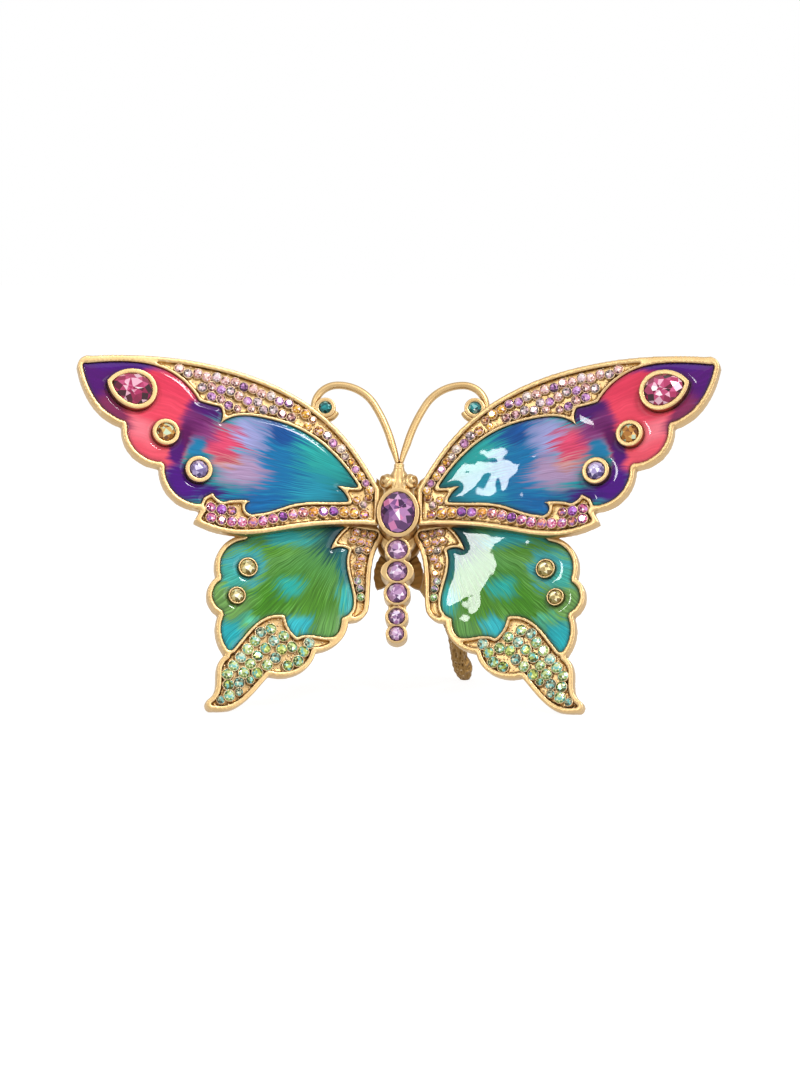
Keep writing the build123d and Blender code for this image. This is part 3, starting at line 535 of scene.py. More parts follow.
class BUTTERFLY_OT_head(bpy.types.Operator):
    """Carve the scrolled eyes and the brow into the head"""
    bl_idname = "butterfly.head"
    bl_label = "Head"

    def execute(self, context):
        settings = context.scene.butterfly_castings
        piece = eased(context, "head_casting", settings.small_grain, 7)
        normals = [v.normal.copy() for v in piece.data.vertices]
        for vert, normal in zip(piece.data.vertices, normals):
            at = to_plane(vert.co, BODY)
            hand = math.copysign(1.0, at.x)
            lift = 0.0
            ray = at - Vector((hand * EYE_X, EYE_Y, EYE_Z))
            if ray.length < EYE_REACH and abs(at.x) > EYE_INNER_X:
                axis = Vector((hand * EYE_FACING[0], *EYE_FACING[1:])).normalized()
                turn = ray.normalized().angle(axis)
                flat = ray - axis * ray.dot(axis)
                around = math.atan2(flat.y, flat.x * hand)
                lift = SCROLL_RELIEF * math.cos(2 * math.pi * turn / SCROLL_PITCH + around)
            elif at.z > FACE_BACK:
                brow = abs(abs(at.x) - BROW_X - BROW_PARTING * abs(at.y - BROW_Y))
                collar = abs(at.y - COLLAR_Y)
                lift = (BROW_RELIEF * math.exp(-(brow / BROW_WIDTH) ** 2)
                        + COLLAR_RELIEF * math.exp(-(collar / COLLAR_WIDTH) ** 2) - FACE_SINK)
            at = to_plane(vert.co + normal * lift * MM, BODY)
            at.x *= 1.0 - NECK_DRAW * clamp((at.y - NECK_Y) / NECK_LENGTH)
            at.x += CHEEK_SWELL * max(-1.0, min(1.0, at.x)) * math.exp(-(at.y - CHEEK_Y) ** 2)
            vert.co = from_plane(at, BODY)
        gilt = bpy.data.materials["satin_gilt_casting"]
        place(piece, "head_casting", "butterfly", gilt)
        return {"FINISHED"}


# The leaves, in mm: the middle of their bracket on the body's plane, where they leave it and their ribs
BRACKET_Y = -6.8
LEAF_START = 5.6
LEAF_RIB = 0.07
LEAF_SINK = 0.08
# The leg's foot, in mm: where the bark starts, the height it fades over, its grain, and the rounded tip
BARK_TOP, BARK_FADE = 22.0, 12.0
BARK_GRAIN = (1.6, 1.6, 2.6)
SOLE = 0.15
TIP = 3.4


class BUTTERFLY_OT_stand(bpy.types.Operator):
    """Dress the leaf bracket, the prop leg with its bark foot, and the pivot screw"""
    bl_idname = "butterfly.stand"
    bl_label = "Stand"

    def execute(self, context):
        settings = context.scene.butterfly_castings
        bronze = satin_metal(
            "antique_bronze_casting", settings.bronze, settings.bronze_dark, rough=0.42, grain=0.7, relief=0.09)
        brass = satin_metal(
            "turned_brass", linear("#B08B4A"), linear("#5E4420"), rough=0.3, grain=0.25, relief=0.02)
        # The leaf bracket wears a darker copy of the bronze: painted shade for the shadow it sits in behind the
        # body, near black in its hollows as painted shade of the gap under the wings
        shade_darkened_bronze = satin_metal(
            "dark_bronze_casting", linear("#9A7440"), linear("#2A1808"), rough=0.5, grain=0.7, relief=0.09)
        leaf = eased(context, "leaf_bracket", settings.small_grain, 4)
        normals = [v.normal.copy() for v in leaf.data.vertices]
        for vert, normal in zip(leaf.data.vertices, normals):
            at = to_plane(vert.co, BODY)
            away = Vector((at.x, at.y - BRACKET_Y, 0.0))
            if away.length > LEAF_START:
                rib = math.sin(away.length * 3.2 + 9.0 * abs(math.atan2(at.x, at.y - BRACKET_Y)))
                vert.co += normal * (LEAF_RIB * rib - LEAF_SINK) * MM
        place(leaf, "leaf_bracket", "butterfly", shade_darkened_bronze)
        leg = eased(context, "prop_leg", settings.small_grain, 4)
        self.bark(leg.data, settings)
        place(leg, "prop_leg", "prop_leg", bronze)
        screw = eased(context, "pivot_screw", settings.small_grain * 0.7, 2)
        place(screw, "pivot_screw", "butterfly", brass)
        return {"FINISHED"}

    def bark(self, mesh, settings):
        """Rounds the end of the leg and cuts bark into its foot."""
        tip = TIP * MM
        low = [vert.co for vert in mesh.vertices if vert.co.z < 0.2 * tip]
        high = [vert.co for vert in mesh.vertices if 0.9 * tip < vert.co.z < 1.1 * tip]
        low, high = sum(low, Vector()) / len(low), sum(high, Vector()) / len(high)
        normals = [vert.normal.copy() for vert in mesh.vertices]
        for vert, normal in zip(mesh.vertices, normals):
            height = vert.co.z / MM
            rough = clamp((BARK_TOP - height) / BARK_FADE)
            if height > SOLE and rough > 0.0:
                at = Vector([along / (size * MM) for along, size in zip(vert.co, BARK_GRAIN)])
                ridge = abs(noise.noise(at)) + 0.5 * abs(noise.noise(at * 2.1))
                vert.co -= normal * settings.bark * rough * ridge * 2.2
            if vert.co.z < tip:
                near = 1.0 - vert.co.z / tip
                axis = high.lerp(low, near)
                share = 1.0 - 0.5 * near ** 2.5
                vert.co.x = axis.x + (vert.co.x - axis.x) * share
                vert.co.y = axis.y + (vert.co.y - axis.y) * share
        mesh.update()


# Washes on the enamel: middle, half sizes, turn, softness and colour, laid down in this order
FOREWING_WASHES = (
    (14.0, 6.0, 9.0, 6.0, 20.0, 0.6, "#003E46"),
    (22.0, 12.0, 11.0, 5.0, 30.0, 0.6, "#1F9490"),
    (24.0, 3.0, 8.0, 4.0, 0.0, 0.6, "#1B849C"),
    (33.0, 9.0, 7.0, 14.0, 0.0, 0.5, "#066598"),
    (31.0, 18.0, 6.0, 2.4, 22.0, 0.5, "#08488A"),
    (37.0, -2.0, 8.0, 3.2, 0.0, 0.5, "#045A94"),
    (39.5, 15.8, 5.0, 5.0, 0.0, 0.5, "#8E90C0"),
    (41.0, 7.0, 6.5, 4.6, 12.0, 0.5, "#A085A8"),
    (44.6, 9.6, 3.4, 2.0, 20.0, 0.5, "#B98480"),
    (45.2, 13.8, 4.6, 4.4, 0.0, 0.4, "#C84062"),
    (62.0, 20.0, 11.5, 13.0, 0.0, 0.16, "#DA4058"),
    (63.0, 10.0, 8.0, 7.0, 20.0, 0.2, "#D84C5E"),
    (58.0, 27.0, 9.0, 4.0, 10.0, 0.6, "#CF3450"),
    (66.0, 15.0, 4.0, 3.0, 30.0, 0.7, "#E0707E"),
    (76.5, 27.5, 8.5, 7.5, 30.0, 0.25, "#4A0066"),
    (72.5, 18.5, 5.5, 3.4, 40.0, 0.4, "#7A2450"),
    (72.0, 32.0, 14.0, 2.2, 0.0, 0.4, "#440074"),
    (50.4, 16.0, 3.2, 3.6, 0.0, 0.7, "#80306E"),
    (49.2, 21.6, 4.8, 2.6, 0.0, 0.4, "#42005E"),
    (52.6, 18.2, 2.6, 3.0, 0.0, 0.6, "#6A2062"),
    (55.0, 13.4, 4.8, 1.9, -60.0, 0.5, "#54004E"),
    (56.6, 9.4, 2.1, 3.4, 0.0, 0.45, "#460066"),
    (54.6, 2.0, 5.8, 5.0, 0.0, 0.35, "#420072"),
    (48.0, -0.9, 4.2, 2.0, 0.0, 0.5, "#38006E"),
    (51.2, 11.4, 2.4, 2.2, 0.0, 0.5, "#10709C"),
)
HINDWING_WASHES = (
    (20.0, -15.0, 12.0, 7.0, -40.0, 0.7, "#4A8640"),
    (30.0, -24.0, 9.0, 5.0, -45.0, 0.6, "#3C7A16"),
    (21.0, -26.0, 6.0, 7.0, 0.0, 0.6, "#467E22"),
    (17.0, -31.0, 5.0, 3.0, -50.0, 0.6, "#588A44"),
    (34.0, -12.0, 8.0, 3.0, -15.0, 0.6, "#4A8420"),
    (43.0, -26.0, 4.0, 5.0, 0.0, 0.4, "#64904A"),
    (15.0, -9.0, 6.0, 5.0, 0.0, 0.6, "#00444E"),
    (12.6, -15.0, 2.2, 7.0, 0.0, 0.6, "#08646A"),
    (29.0, -8.6, 8.0, 2.4, -6.0, 0.5, "#2AA0A2"),
    (38.6, -17.4, 5.4, 5.2, 0.0, 0.25, "#3A9CA0"),
    (41.6, -20.4, 2.6, 3.4, 0.0, 0.4, "#3A9E90"),
    (26.4, -21.4, 3.2, 2.4, -30.0, 0.6, "#22A096"),
    (11.8, -24.2, 2.4, 4.2, 0.0, 0.5, "#30A6A4"),
    (24.6, -31.4, 4.0, 2.6, -40.0, 0.4, "#30AAB4"),
    (41.2, -35.4, 3.6, 4.6, 20.0, 0.4, "#1F9CA4"),
    (37.0, -30.6, 3.0, 2.0, 30.0, 0.5, "#4AA884"),
)
# Where the brush starts on each wing, and the distance at which its fan is measured, in mm
STROKE_ROOT = {"forewing": (-6.0, 2.0), "hindwing": (10.0, -1.0)}
STROKE_FAN = 38.0
# The glaze, in mm: how wide its shoulder is, its waves and pits, and how far it creeps up its walls
SHOULDER = 7.0
WAVE_SIZE, PIT_SIZE, PIT_HEIGHT = 7.0, 2.4, 0.012
WALL_REACH, WALL_CREEP = 0.4, 0.1


class BUTTERFLY_OT_enamel(bpy.types.Operator):
    """Fill the wings with painted, rolled-edged enamel"""
    bl_idname = "butterfly.enamel"
    bl_label = "Enamel"

    def execute(self, context):
        settings = context.scene.butterfly_enamel
        paints = {
            "forewing": painted_enamel(
                "fired_enamel_violet", "#107E8A", FOREWING_WASHES, streak=0.36, sway=1.3),
            "hindwing": painted_enamel(
                "fired_enamel_green", "#588C40", HINDWING_WASHES, streak=0.55, sway=3.0),
        }
        for wing in WINGS:
            for hand, side in HANDS:
                name = wing + "_enamel_" + hand
                piece = eased(context, name, settings.grain, 1)
                self.roll(piece.data, side, STROKE_ROOT[wing], settings)
                place(piece, name, "butterfly", paints[wing])
        return {"FINISHED"}

    def roll(self, mesh, side, root, settings):
        """Crowns the glaze, rolls its edge down at every wall, and marks it for the brush and for the painted
        shade at its walls.
        """
        points = [to_plane(vert.co, side) for vert in mesh.vertices]
        low, top = span(points, 2)
        walls = [p for p in points if low + WALL_REACH < p.z < top - WALL_REACH]
        tree = kdtree.KDTree(len(walls))
        for k, p in enumerate(walls):
            tree.insert((p.x, p.y, 0.0), k)
        tree.balance()
        marks = {"wing": [], "stroke": [], "edge": []}
        normals = [vert.normal.copy() for vert in mesh.vertices]
        for k, p in enumerate(points):
            room = tree.find((p.x, p.y, 0.0))[2]
            if p.z > (low + top) / 2:
                roll = max(0.0, 1.0 - room / settings.roll_width)
                wave = noise.noise(Vector((p.x / WAVE_SIZE, p.y / WAVE_SIZE, 3.0 * side)))
                p.z += settings.crown * (1.0 - math.exp(-room / SHOULDER)) - settings.rolled * roll ** 2
                fine = noise.noise(Vector((p.x / PIT_SIZE, p.y / PIT_SIZE, 5.0 + side)))
                p.z += (settings.ripple * wave + PIT_HEIGHT * fine) * min(1.0, room / 3.0)
            mesh.vertices[k].co = from_plane(p, side)
            if room < WALL_REACH:
                mesh.vertices[k].co += normals[k] * WALL_CREEP * MM
            away = Vector((p.x - root[0], p.y - root[1]))
            marks["wing"].append((p.x, p.y, 0.0))
            marks["stroke"].append((away.length, STROKE_FAN * math.atan2(away.y, away.x), 2.0 * side))
            marks["edge"].append(room)
        mark(mesh, marks)
        mesh.update()


def crown_facets(kites, table, crown, girdle):
    """The facets of a brilliant cut, each corner as its angle, its share of the radius and its height."""
    step = 2 * math.pi / kites
    middle = (1.0 + table) / 2 + 0.06
    rise = crown * (1.0 - middle * math.cos(step / 2)) / (1.0 - table)

    def top(k):
        return (k % kites * step, table, crown)

    def mid(k):
        return ((k % kites + 0.5) * step, middle, rise)

    def rim(k, height):
        return (k % (2 * kites) * step / 2, 1.0, height)

    facets = [[top(k) for k in range(kites)]]
    for k in range(kites):
        facets.append([top(k), mid(k), top(k + 1)])
        facets.append([top(k), mid(k - 1), rim(2 * k, 0.0), mid(k)])
        facets.append([mid(k), rim(2 * k, 0.0), rim(2 * k + 1, 0.0)])
        facets.append([mid(k), rim(2 * k + 1, 0.0), rim(2 * k + 2, 0.0)])
    for k in range(2 * kites):
        facets.append([rim(k, 0.0), rim(k, -girdle), rim(k + 1, -girdle), rim(k + 1, 0.0)])
    facets.append([rim(-k, -girdle) for k in range(2 * kites)])
    return facets


def stone_mesh(name, facets, radius, cuts, seed):
    """A cut stone on its girdle, in mm.

    radius(angle) gives its outline. cuts divide the table into cells, each a painted reflection of the far side
    of the stone.
    Cells and upper facets mostly take painted highlights, and the facets at the girdle mostly take painted
    shade.
    """
    bm = bmesh.new()
    corners = {}
    for facet in facets:
        ring = []
        for angle, share, height in facet:
            key = (round(angle, 5), round(share, 5), round(height, 5))
            if key not in corners:
                reach = share * radius(angle)
                corners[key] = bm.verts.new((reach * math.cos(angle), reach * math.sin(angle), height))
            ring.append(corners[key])
        bm.faces.new(ring)
    bmesh.ops.recalc_face_normals(bm, faces=bm.faces)
    dice = random.Random(seed)
    for k in range(cuts):
        table = [face for face in bm.faces if face.normal.z > 0.99]
        parts = set(table)
        for face in table:
            parts.update(face.edges)
            parts.update(face.verts)
        turn = math.pi * (k + 0.6 * dice.random()) / cuts
        across = Vector((math.cos(turn), math.sin(turn), 0.0))
        bmesh.ops.bisect_plane(bm, geom=sorted(parts, key=lambda part: (type(part).__name__, part.index)),
                               plane_co=across * (dice.random() - 0.5) * 0.6 * radius(turn), plane_no=across)
        bm.verts.index_update()
        bm.edges.index_update()
        bm.faces.index_update()
    # Painted sparkle: each face gets a random share of painted light, most on the table's cells, less on the
    # upper facets, least at the girdle
    sparkle = bm.faces.layers.float.new("facet")
    for face in bm.faces:
        if face.normal.z > 0.99:
            face[sparkle] = 0.1 + 0.9 * dice.random()
        elif min(vert.co.z for vert in face.verts) > 1e-4:
            face[sparkle] = 0.2 + 0.7 * dice.random()
        else:
            face[sparkle] = 0.55 * dice.random()
    mesh = bpy.data.meshes.new(name)
    bm.to_mesh(mesh)
    bm.free()
    return mesh


# The girdle's height as a share of a single stone, and of a pave stone
GIRDLE, PAVE_GIRDLE = 0.42, 0.63
# How bright a single stone is among the stones of a field, from 0 to 1
SINGLE_STONE = 0.6


class BUTTERFLY_OT_crystals(bpy.types.Operator):
    """Set the single crystals of the wings, body and antennae"""
    bl_idname = "butterfly.crystals"
    bl_label = "Single crystals"

    def execute(self, context):
        # Each stone's tones: the painted shade, the stone's own colour and the painted highlight of its facets
        ruby = ("#320618", "#A01C50", "#D05A88")
        amber = ("#5A2E0C", "#B4752A", "#DEB866")
        lilac = ("#40346A", "#A292C4", "#E2DAF0")
        citrine = ("#7A6434", "#CDBA76", "#F2E8B6")
        teal = ("#033038", "#0A6468", "#1F9498")
        amethyst = ("#3E1E48", "#855490", "#C48EBE")
        pale = ("#52345C", "#A67AA8", "#DCBAD6")
        # Each stone's node, slot, tones, painted reflection tint and its share of facets, crown kites and table
        # cuts
        stones = [("thorax_crystal", "amethyst_crystal", amethyst, "#E88ABA", 0.12, 10, 8)]
        for k in range(1, 6):
            stones.append(("abdomen_crystal_" + str(k), "amethyst_crystal", pale, "#F0E4FA", 0.1, 8, 5))
        for hand, _ in HANDS:
            stones.append(("pear_crystal_" + hand, "ruby_crystal", ruby, "#F6C8DA", 0.14, 10, 8))
            stones.append(("amber_crystal_" + hand, "amber_crystal", amber, "#BFE8D0", 0.22, 8, 3))
            stones.append(("lilac_crystal_" + hand, "lilac_crystal", lilac, "#5A4A7A", 0.12, 8, 4))
            stones.append(("citrine_crystals_" + hand, "citrine_crystal", citrine, "#7A6A3A", 0.15, 8, 3))
            stones.append(("antenna_crystal_" + hand, "teal_crystal", teal, "#9ADADA", 0.08, 8, 3))
        seed = context.scene.butterfly_crystals.seed
        made = {}
        for name, slot, tones, painted_reflection_tint, share, kites, cuts in stones:
            key = (tones, painted_reflection_tint)
            if key not in made:
                made[key] = cut_crystal("cut_" + slot, tones, tones, painted_reflection_tint, share)
            seed += 1
            piece = self.cut(context, name, kites, cuts, seed)
            place(piece, name, "butterfly", made[key])
        return {"FINISHED"}

    def cut(self, context, name, kites, cuts, seed):
        """A brilliant within each solid of a node, with the solid's own outline."""
        settings = context.scene.butterfly_crystals
        side = side_of(name)
        bm = bmesh.new()
        for group in islands(name):
            low, top = span(group, 2)
            centre = Vector((sum(span(group, 0)) / 2, sum(span(group, 1)) / 2, 0.0))
            rim = sorted((math.atan2(p.y - centre.y, p.x - centre.x) % (2 * math.pi),
                          math.hypot(p.x - centre.x, p.y - centre.y))
                         for p in group if p.z < low + 0.1)
            rim = [rim[-1]] + rim + [rim[0]]
            rim[0] = (rim[0][0] - 2 * math.pi, rim[0][1])
            rim[-1] = (rim[-1][0] + 2 * math.pi, rim[-1][1])

            def radius(angle):
                angle = angle % (2 * math.pi)
                for (a, near), (b, far) in zip(rim, rim[1:]):
                    if a <= angle <= b:
                        return near + (far - near) * (angle - a) / max(b - a, 1e-6)
                raise ValueError("no outline at " + str(angle))

            level = low + GIRDLE * (top - low)
            facets = crown_facets(kites, settings.table, top - level, level - low)
            mesh = stone_mesh(name, facets, radius, cuts, seed)
            mesh.transform(Matrix.Translation(from_plane((centre.x, centre.y, level), side))
                           @ (AXES[side] * MM).to_4x4())
            if side == LEFT:
                mesh.flip_normals()
            bm.from_mesh(mesh)
            bpy.data.meshes.remove(mesh)
        mesh = bpy.data.meshes.new(name + "_cut")
        bm.to_mesh(mesh)
        bm.free()
        mark(mesh, {"stone": [SINGLE_STONE] * len(mesh.vertices)})
        return new_piece(context, name + "_cut", mesh)


def node_inputs(tree, sockets):
    """Gives a node tree its named inputs and its geometry output, and returns the group input."""
    tree.interface.new_socket("Geometry", in_out="OUTPUT", socket_type="NodeSocketGeometry")
    for name, kind in sockets:
        tree.interface.new_socket(name, in_out="INPUT", socket_type=kind)
    return node(tree, "NodeGroupInput").outputs


def stones_tree():
    """Sets one stone on each seat, turned at random, with a random number that shifts its painted sparkle and
    picks its tint.
    """
    tree = bpy.data.node_groups.new("Pave stones", "GeometryNodeTree")
    given = node_inputs(tree, (
        ("Geometry", "NodeSocketGeometry"), ("Stone", "NodeSocketObject"), ("Seed", "NodeSocketInt"),
        ("Material", "NodeSocketMaterial")))
    stone = node(tree, "GeometryNodeObjectInfo", {"Object": given["Stone"], "As Instance": True})
    tilt = node(tree, "GeometryNodeInputNamedAttribute", {"Name": "tilt"}, data_type="FLOAT_VECTOR")
    girth = node(tree, "GeometryNodeInputNamedAttribute", {"Name": "girth"}, data_type="FLOAT_VECTOR")
    turn = node(tree, "FunctionNodeEulerToRotation", {"Euler": tilt.outputs[0]})
    rows = node(tree, "GeometryNodeInstanceOnPoints", {
        "Points": given["Geometry"], "Instance": stone.outputs["Geometry"],
        "Rotation": turn.outputs[0], "Scale": girth.outputs[0]})
    chance = node(tree, "FunctionNodeRandomValue", {"Seed": given["Seed"]}, data_type="FLOAT")
    named = node(tree, "GeometryNodeStoreNamedAttribute", {
        "Geometry": rows.outputs[0], "Name": "stone", "Value": chance.outputs[1]},
        data_type="FLOAT", domain="INSTANCE")
    spin = node(tree, "ShaderNodeMath", {0: chance.outputs[1], 1: 6.283}, operation="MULTIPLY")
    spin = node(tree, "ShaderNodeCombineXYZ", {"Z": spin.outputs[0]})
    spin = node(tree, "FunctionNodeEulerToRotation", {"Euler": spin.outputs[0]})
    turned = node(tree, "GeometryNodeRotateInstances", {
        "Instances": named.outputs[0], "Rotation": spin.outputs[0], "Local Space": True})
    real = node(tree, "GeometryNodeRealizeInstances", {"Geometry": turned.outputs[0]})
    worn = node(tree, "GeometryNodeSetMaterial", {
        "Geometry": real.outputs[0], "Material": given["Material"]})
    node(tree, "NodeGroupOutput", {"Geometry": worn.outputs[0]})
    return tree


def grains_tree():
    """Strews gold grains over a pave floor, clear of the stones."""
    tree = bpy.data.node_groups.new("Pave grains", "GeometryNodeTree")
    given = node_inputs(tree, (
        ("Geometry", "NodeSocketGeometry"), ("Seats", "NodeSocketObject"), ("Grain", "NodeSocketObject"),
        ("Spacing", "NodeSocketFloat"), ("Room", "NodeSocketFloat"), ("Size", "NodeSocketFloat"),
        ("Seed", "NodeSocketInt"), ("Material", "NodeSocketMaterial")))
    dense = node(tree, "ShaderNodeMath", {0: given["Spacing"], 1: -2.0}, operation="POWER")
    strewn = node(tree, "GeometryNodeDistributePointsOnFaces", {
        "Mesh": given["Geometry"], "Distance Min": given["Spacing"], "Density Max": dense.outputs[0],
        "Seed": given["Seed"]}, distribute_method="POISSON")
    seats = node(tree, "GeometryNodeObjectInfo", {"Object": given["Seats"]})
    gap = node(tree, "GeometryNodeProximity", {
        "Geometry": seats.outputs["Geometry"]}, target_element="POINTS")
    close = node(tree, "ShaderNodeMath", {
        0: gap.outputs["Distance"], 1: given["Room"]}, operation="LESS_THAN")
    kept = node(tree, "GeometryNodeDeleteGeometry", {
        "Geometry": strewn.outputs["Points"], "Selection": close.outputs[0]}, domain="POINT")
    grain = node(tree, "GeometryNodeObjectInfo", {"Object": given["Grain"], "As Instance": True})
    chance = node(tree, "FunctionNodeRandomValue", {
        2: 0.7, 3: 1.1, "Seed": given["Seed"]}, data_type="FLOAT")
    size = node(tree, "ShaderNodeMath", {0: chance.outputs[1], 1: given["Size"]}, operation="MULTIPLY")
    beads = node(tree, "GeometryNodeInstanceOnPoints", {
        "Points": kept.outputs[0], "Instance": grain.outputs["Geometry"], "Scale": size.outputs[0]})
    real = node(tree, "GeometryNodeRealizeInstances", {"Geometry": beads.outputs[0]})
    worn = node(tree, "GeometryNodeSetMaterial", {
        "Geometry": real.outputs[0], "Material": given["Material"]})
    node(tree, "NodeGroupOutput", {"Geometry": worn.outputs[0]})
    return tree


def grow(context, piece, tree, values):
    """Runs a node tree on a piece with the named values, and leaves plain mesh."""
    modifier = piece.modifiers.new("Grow", "NODES")
    modifier.node_group = tree
    for item in tree.interface.items_tree:
        if item.in_out == "INPUT" and item.name in values:
            modifier[item.identifier] = values[item.name]
    settle(context, piece)
    if not piece.data.polygons:
        raise RuntimeError(piece.name + " came out empty")


# How far a pave stone leans in its seat at most, in radians
ASKEW = 0.16
# Where a field's root tints start to come in and where they have taken over, in mm along its wing. The tail's
# are all over it, and are the same as its others.
ROOT_TINTS = {
    "leading_pave": (40.0, 8.0), "trailing_pave": (30.0, 6.0), "inner_pave": (19.0, 13.0),
    "tail_pave": (9e3, 8e3),
}


class BUTTERFLY_OT_pave(bpy.types.Operator):
    """Set the pave crystals and the gold grains between them"""
    bl_idname = "butterfly.pave"
    bl_label = "Pave"

    def execute(self, context):
        settings = context.scene.butterfly_crystals
        # Each field's tones run from painted shade through its colour to painted highlight, then its root
        # tones, painted reflection tint, its share and the odd tints
        finishes = {
            "leading_pave": cut_crystal(
                "cut_rose_crystal", ("#4E2422", "#C68880", "#F6DACA"), ("#6E3806", "#D08C10", "#F2CC5C"),
                "#E0B4C0", 0.16, ("#8250A0", "#F4F0F6")),
            "trailing_pave": cut_crystal(
                "cut_pink_crystal", ("#4E1236", "#C04C7C", "#EEA6BC"), ("#763C08", "#CE8A18", "#F0C860"),
                "#9A6AB8", 0.16, ("#6A2E9A", "#DC8A30")),
            "inner_pave": cut_crystal(
                "cut_peridot_topaz_crystal",
                ("#203E14", "#6E9C4C", "#C0DA9A"), ("#5A2E04", "#C07818", "#F0C46C"),
                "#C49AC8", 0.16, ("#E4ECE6", "#D69A48")),
            "tail_pave": cut_crystal(
                "cut_peridot_crystal", ("#3A4A18", "#98AE5C", "#DCE8AC"), ("#3A4A18", "#98AE5C", "#DCE8AC"),
                "#6AC0C0", 0.22, ("#C4CE48", "#EEF6E6")),
        }
        tree = stones_tree()
        template = new_piece(context, "pave_stone", stone_mesh(
            "pave_stone", crown_facets(8, settings.table, 0.5, 0.9), lambda angle: 1.0, 2, settings.seed))
        seats = {}
        for field in finishes:
            for hand, side in HANDS:
                name = field + "_" + hand
                piece = self.seats(context, name, side, ROOT_TINTS[field], settings)
                seats[name] = piece.data.copy()
                grow(context, piece, tree, {
                    "Stone": template, "Seed": settings.seed, "Material": finishes[field]})
                place(piece, name, "butterfly", finishes[field])
        bpy.data.objects.remove(template)
        gilt = bpy.data.materials["satin_gilt_casting"]
        template = new_piece(context, "pave_collar", self.collar())
        for name, places in seats.items():
            piece = new_piece(context, name + "_collars", places.copy())
            grow(context, piece, tree, {"Stone": template, "Seed": settings.seed, "Material": gilt})
            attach(piece, "butterfly")
        bpy.data.objects.remove(template)
        self.grains(context, seats, settings)
        return {"FINISHED"}

    def seats(self, context, name, side, reach, settings):
        """One point for each stone, with its tilt, its girth and how near it is to the wing's root."""
        groups = islands(name)
        mesh = bpy.data.meshes.new(name + "_set")
        dice = random.Random(settings.seed + len(groups))
        rows = []
        for group in groups:
            low, top = span(group, 2)
            left, right = span(group, 0)
            below, above = span(group, 1)
            at = Vector(((left + right) / 2, (below + above) / 2, low + PAVE_GIRDLE * (top - low)))
            rows.append((at, (right - left) / 2 * settings.lap))
        mesh.from_pydata([from_plane(at, side) for at, girth in rows], [], [])
        marks = {"tilt": [], "girth": [], "along": []}
        for at, girth in rows:
            from_root = -at.y if "inner" in name else at.x
            back = Matrix.Rotation(dice.uniform(-ASKEW, ASKEW), 3, "X")
            over = Matrix.Rotation(dice.uniform(-ASKEW, ASKEW), 3, "Y")
            marks["tilt"].append((seat_turn(side) @ back @ over).to_euler())
            marks["girth"].append((girth * MM, girth * MM, MM))
            marks["along"].append((reach[0] - from_root) / (reach[0] - reach[1]))
        mark(mesh, marks)
        return new_piece(context, name + "_set", mesh)

    def collar(self):
        """The ring of metal pushed over a stone of radius 1: its foot, its shoulder, its lip and its bore."""
        profile = ((1.22, -0.9), (1.15, -0.15), (1.07, 0.02), (0.98, -0.06))
        count = 10
        corners = []
        for reach, height in profile:
            for k in range(count):
                turn = 2 * math.pi * k / count
                corners.append((reach * math.cos(turn), reach * math.sin(turn), height))
        faces = []
        for j in range(len(profile)):
            low, high = j * count, (j + 1) % len(profile) * count
            for k in range(count):
                after = (k + 1) % count
                faces.append((low + k, low + after, high + after, high + k))
        mesh = bpy.data.meshes.new("pave_collar")
        mesh.from_pydata(corners, [], faces)
        mesh.shade_smooth()
        return mesh

    def grains(self, context, seats, settings):
        """Gold grains on the pave floor of each wing."""
        tree = grains_tree()
        bead = bpy.data.meshes.new("gold_grain")
        bm = bmesh.new()
        bmesh.ops.create_uvsphere(bm, u_segments=8, v_segments=5, radius=1.0)
        for face in bm.faces:
            face.smooth = True
        bm.to_mesh(bead)
        bm.free()
        template = new_piece(context, "gold_grain", bead)
        gilt = bpy.data.materials["satin_gilt_casting"]
        fields = {"forewing": ("leading_pave_", "trailing_pave_"), "hindwing": ("inner_pave_", "tail_pave_")}
        for wing in WINGS:
            for hand, side in HANDS:
                bm = merged(wing + "_" + hand)
                low = min(min(p.z for p in group) for group in islands(fields[wing][1] + hand))
                spare = []
                for face in bm.faces:
                    spots = [to_plane(vert.co, side).z for vert in face.verts]
                    if max(spots) > low + 0.05 or min(spots) < low - 0.05:
                        spare.append(face)
                bmesh.ops.delete(bm, geom=spare, context="FACES")
                floor = bpy.data.meshes.new(wing + "_grains_" + hand)
                bm.to_mesh(floor)
                bm.free()
                piece = new_piece(context, wing + "_grains_" + hand, floor)
                marks = bpy.data.meshes.new("seats")
                marks.from_pydata(
                    [from_plane((*to_plane(v.co, side)[:2], low), side)
                     for field in fields[wing] for v in seats[field + hand].vertices], [], [])
                marker = new_piece(context, "seats", marks)
                grow(context, piece, tree, {
                    "Seats": marker, "Grain": template, "Spacing": settings.grain_gap,
                    "Room": settings.grain_room, "Size": settings.grain_size, "Seed": settings.seed,
                    "Material": gilt})
                bpy.data.objects.remove(marker)
                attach(piece, "butterfly")
        bpy.data.objects.remove(template)


# The lamps: where each stands from the thorax, how far away, and its width and height in metres
LAMPS = {
    "key": ((-0.50, -0.62, 0.60), 0.9, (0.09, 0.13)),
    "fill": ((0.80, -0.52, 0.30), 1.0, (0.5, 0.7)),
    "top": ((0.05, -0.35, 0.94), 1.0, (0.9, 0.6)),
    "window": ((0.45, -0.34, 0.80), 1.0, (0.24, 0.16)),
}
# The camera: its height and turn in degrees, its focal length and image height in pixels, and how far its
# middle lies across and below the thorax, in mm
CAMERA_HEIGHT, CAMERA_TURN = 7.0, 2.0
FOCAL_PIXELS, IMAGE_PIXELS = 2800, 1067
CAMERA_ACROSS, CAMERA_BELOW = 0.375, 5.875


def seen(tree):
    """1 where the camera, a mirror or glass looks at a surface, and 0 where it only gives light."""
    path = node(tree, "ShaderNodeLightPath").outputs
    share = path["Is Camera Ray"]
    for ray in ("Is Glossy Ray", "Is Transmission Ray"):
        share = node(tree, "ShaderNodeMath", {0: share, 1: path[ray]}, operation="MAXIMUM").outputs[0]
    return share


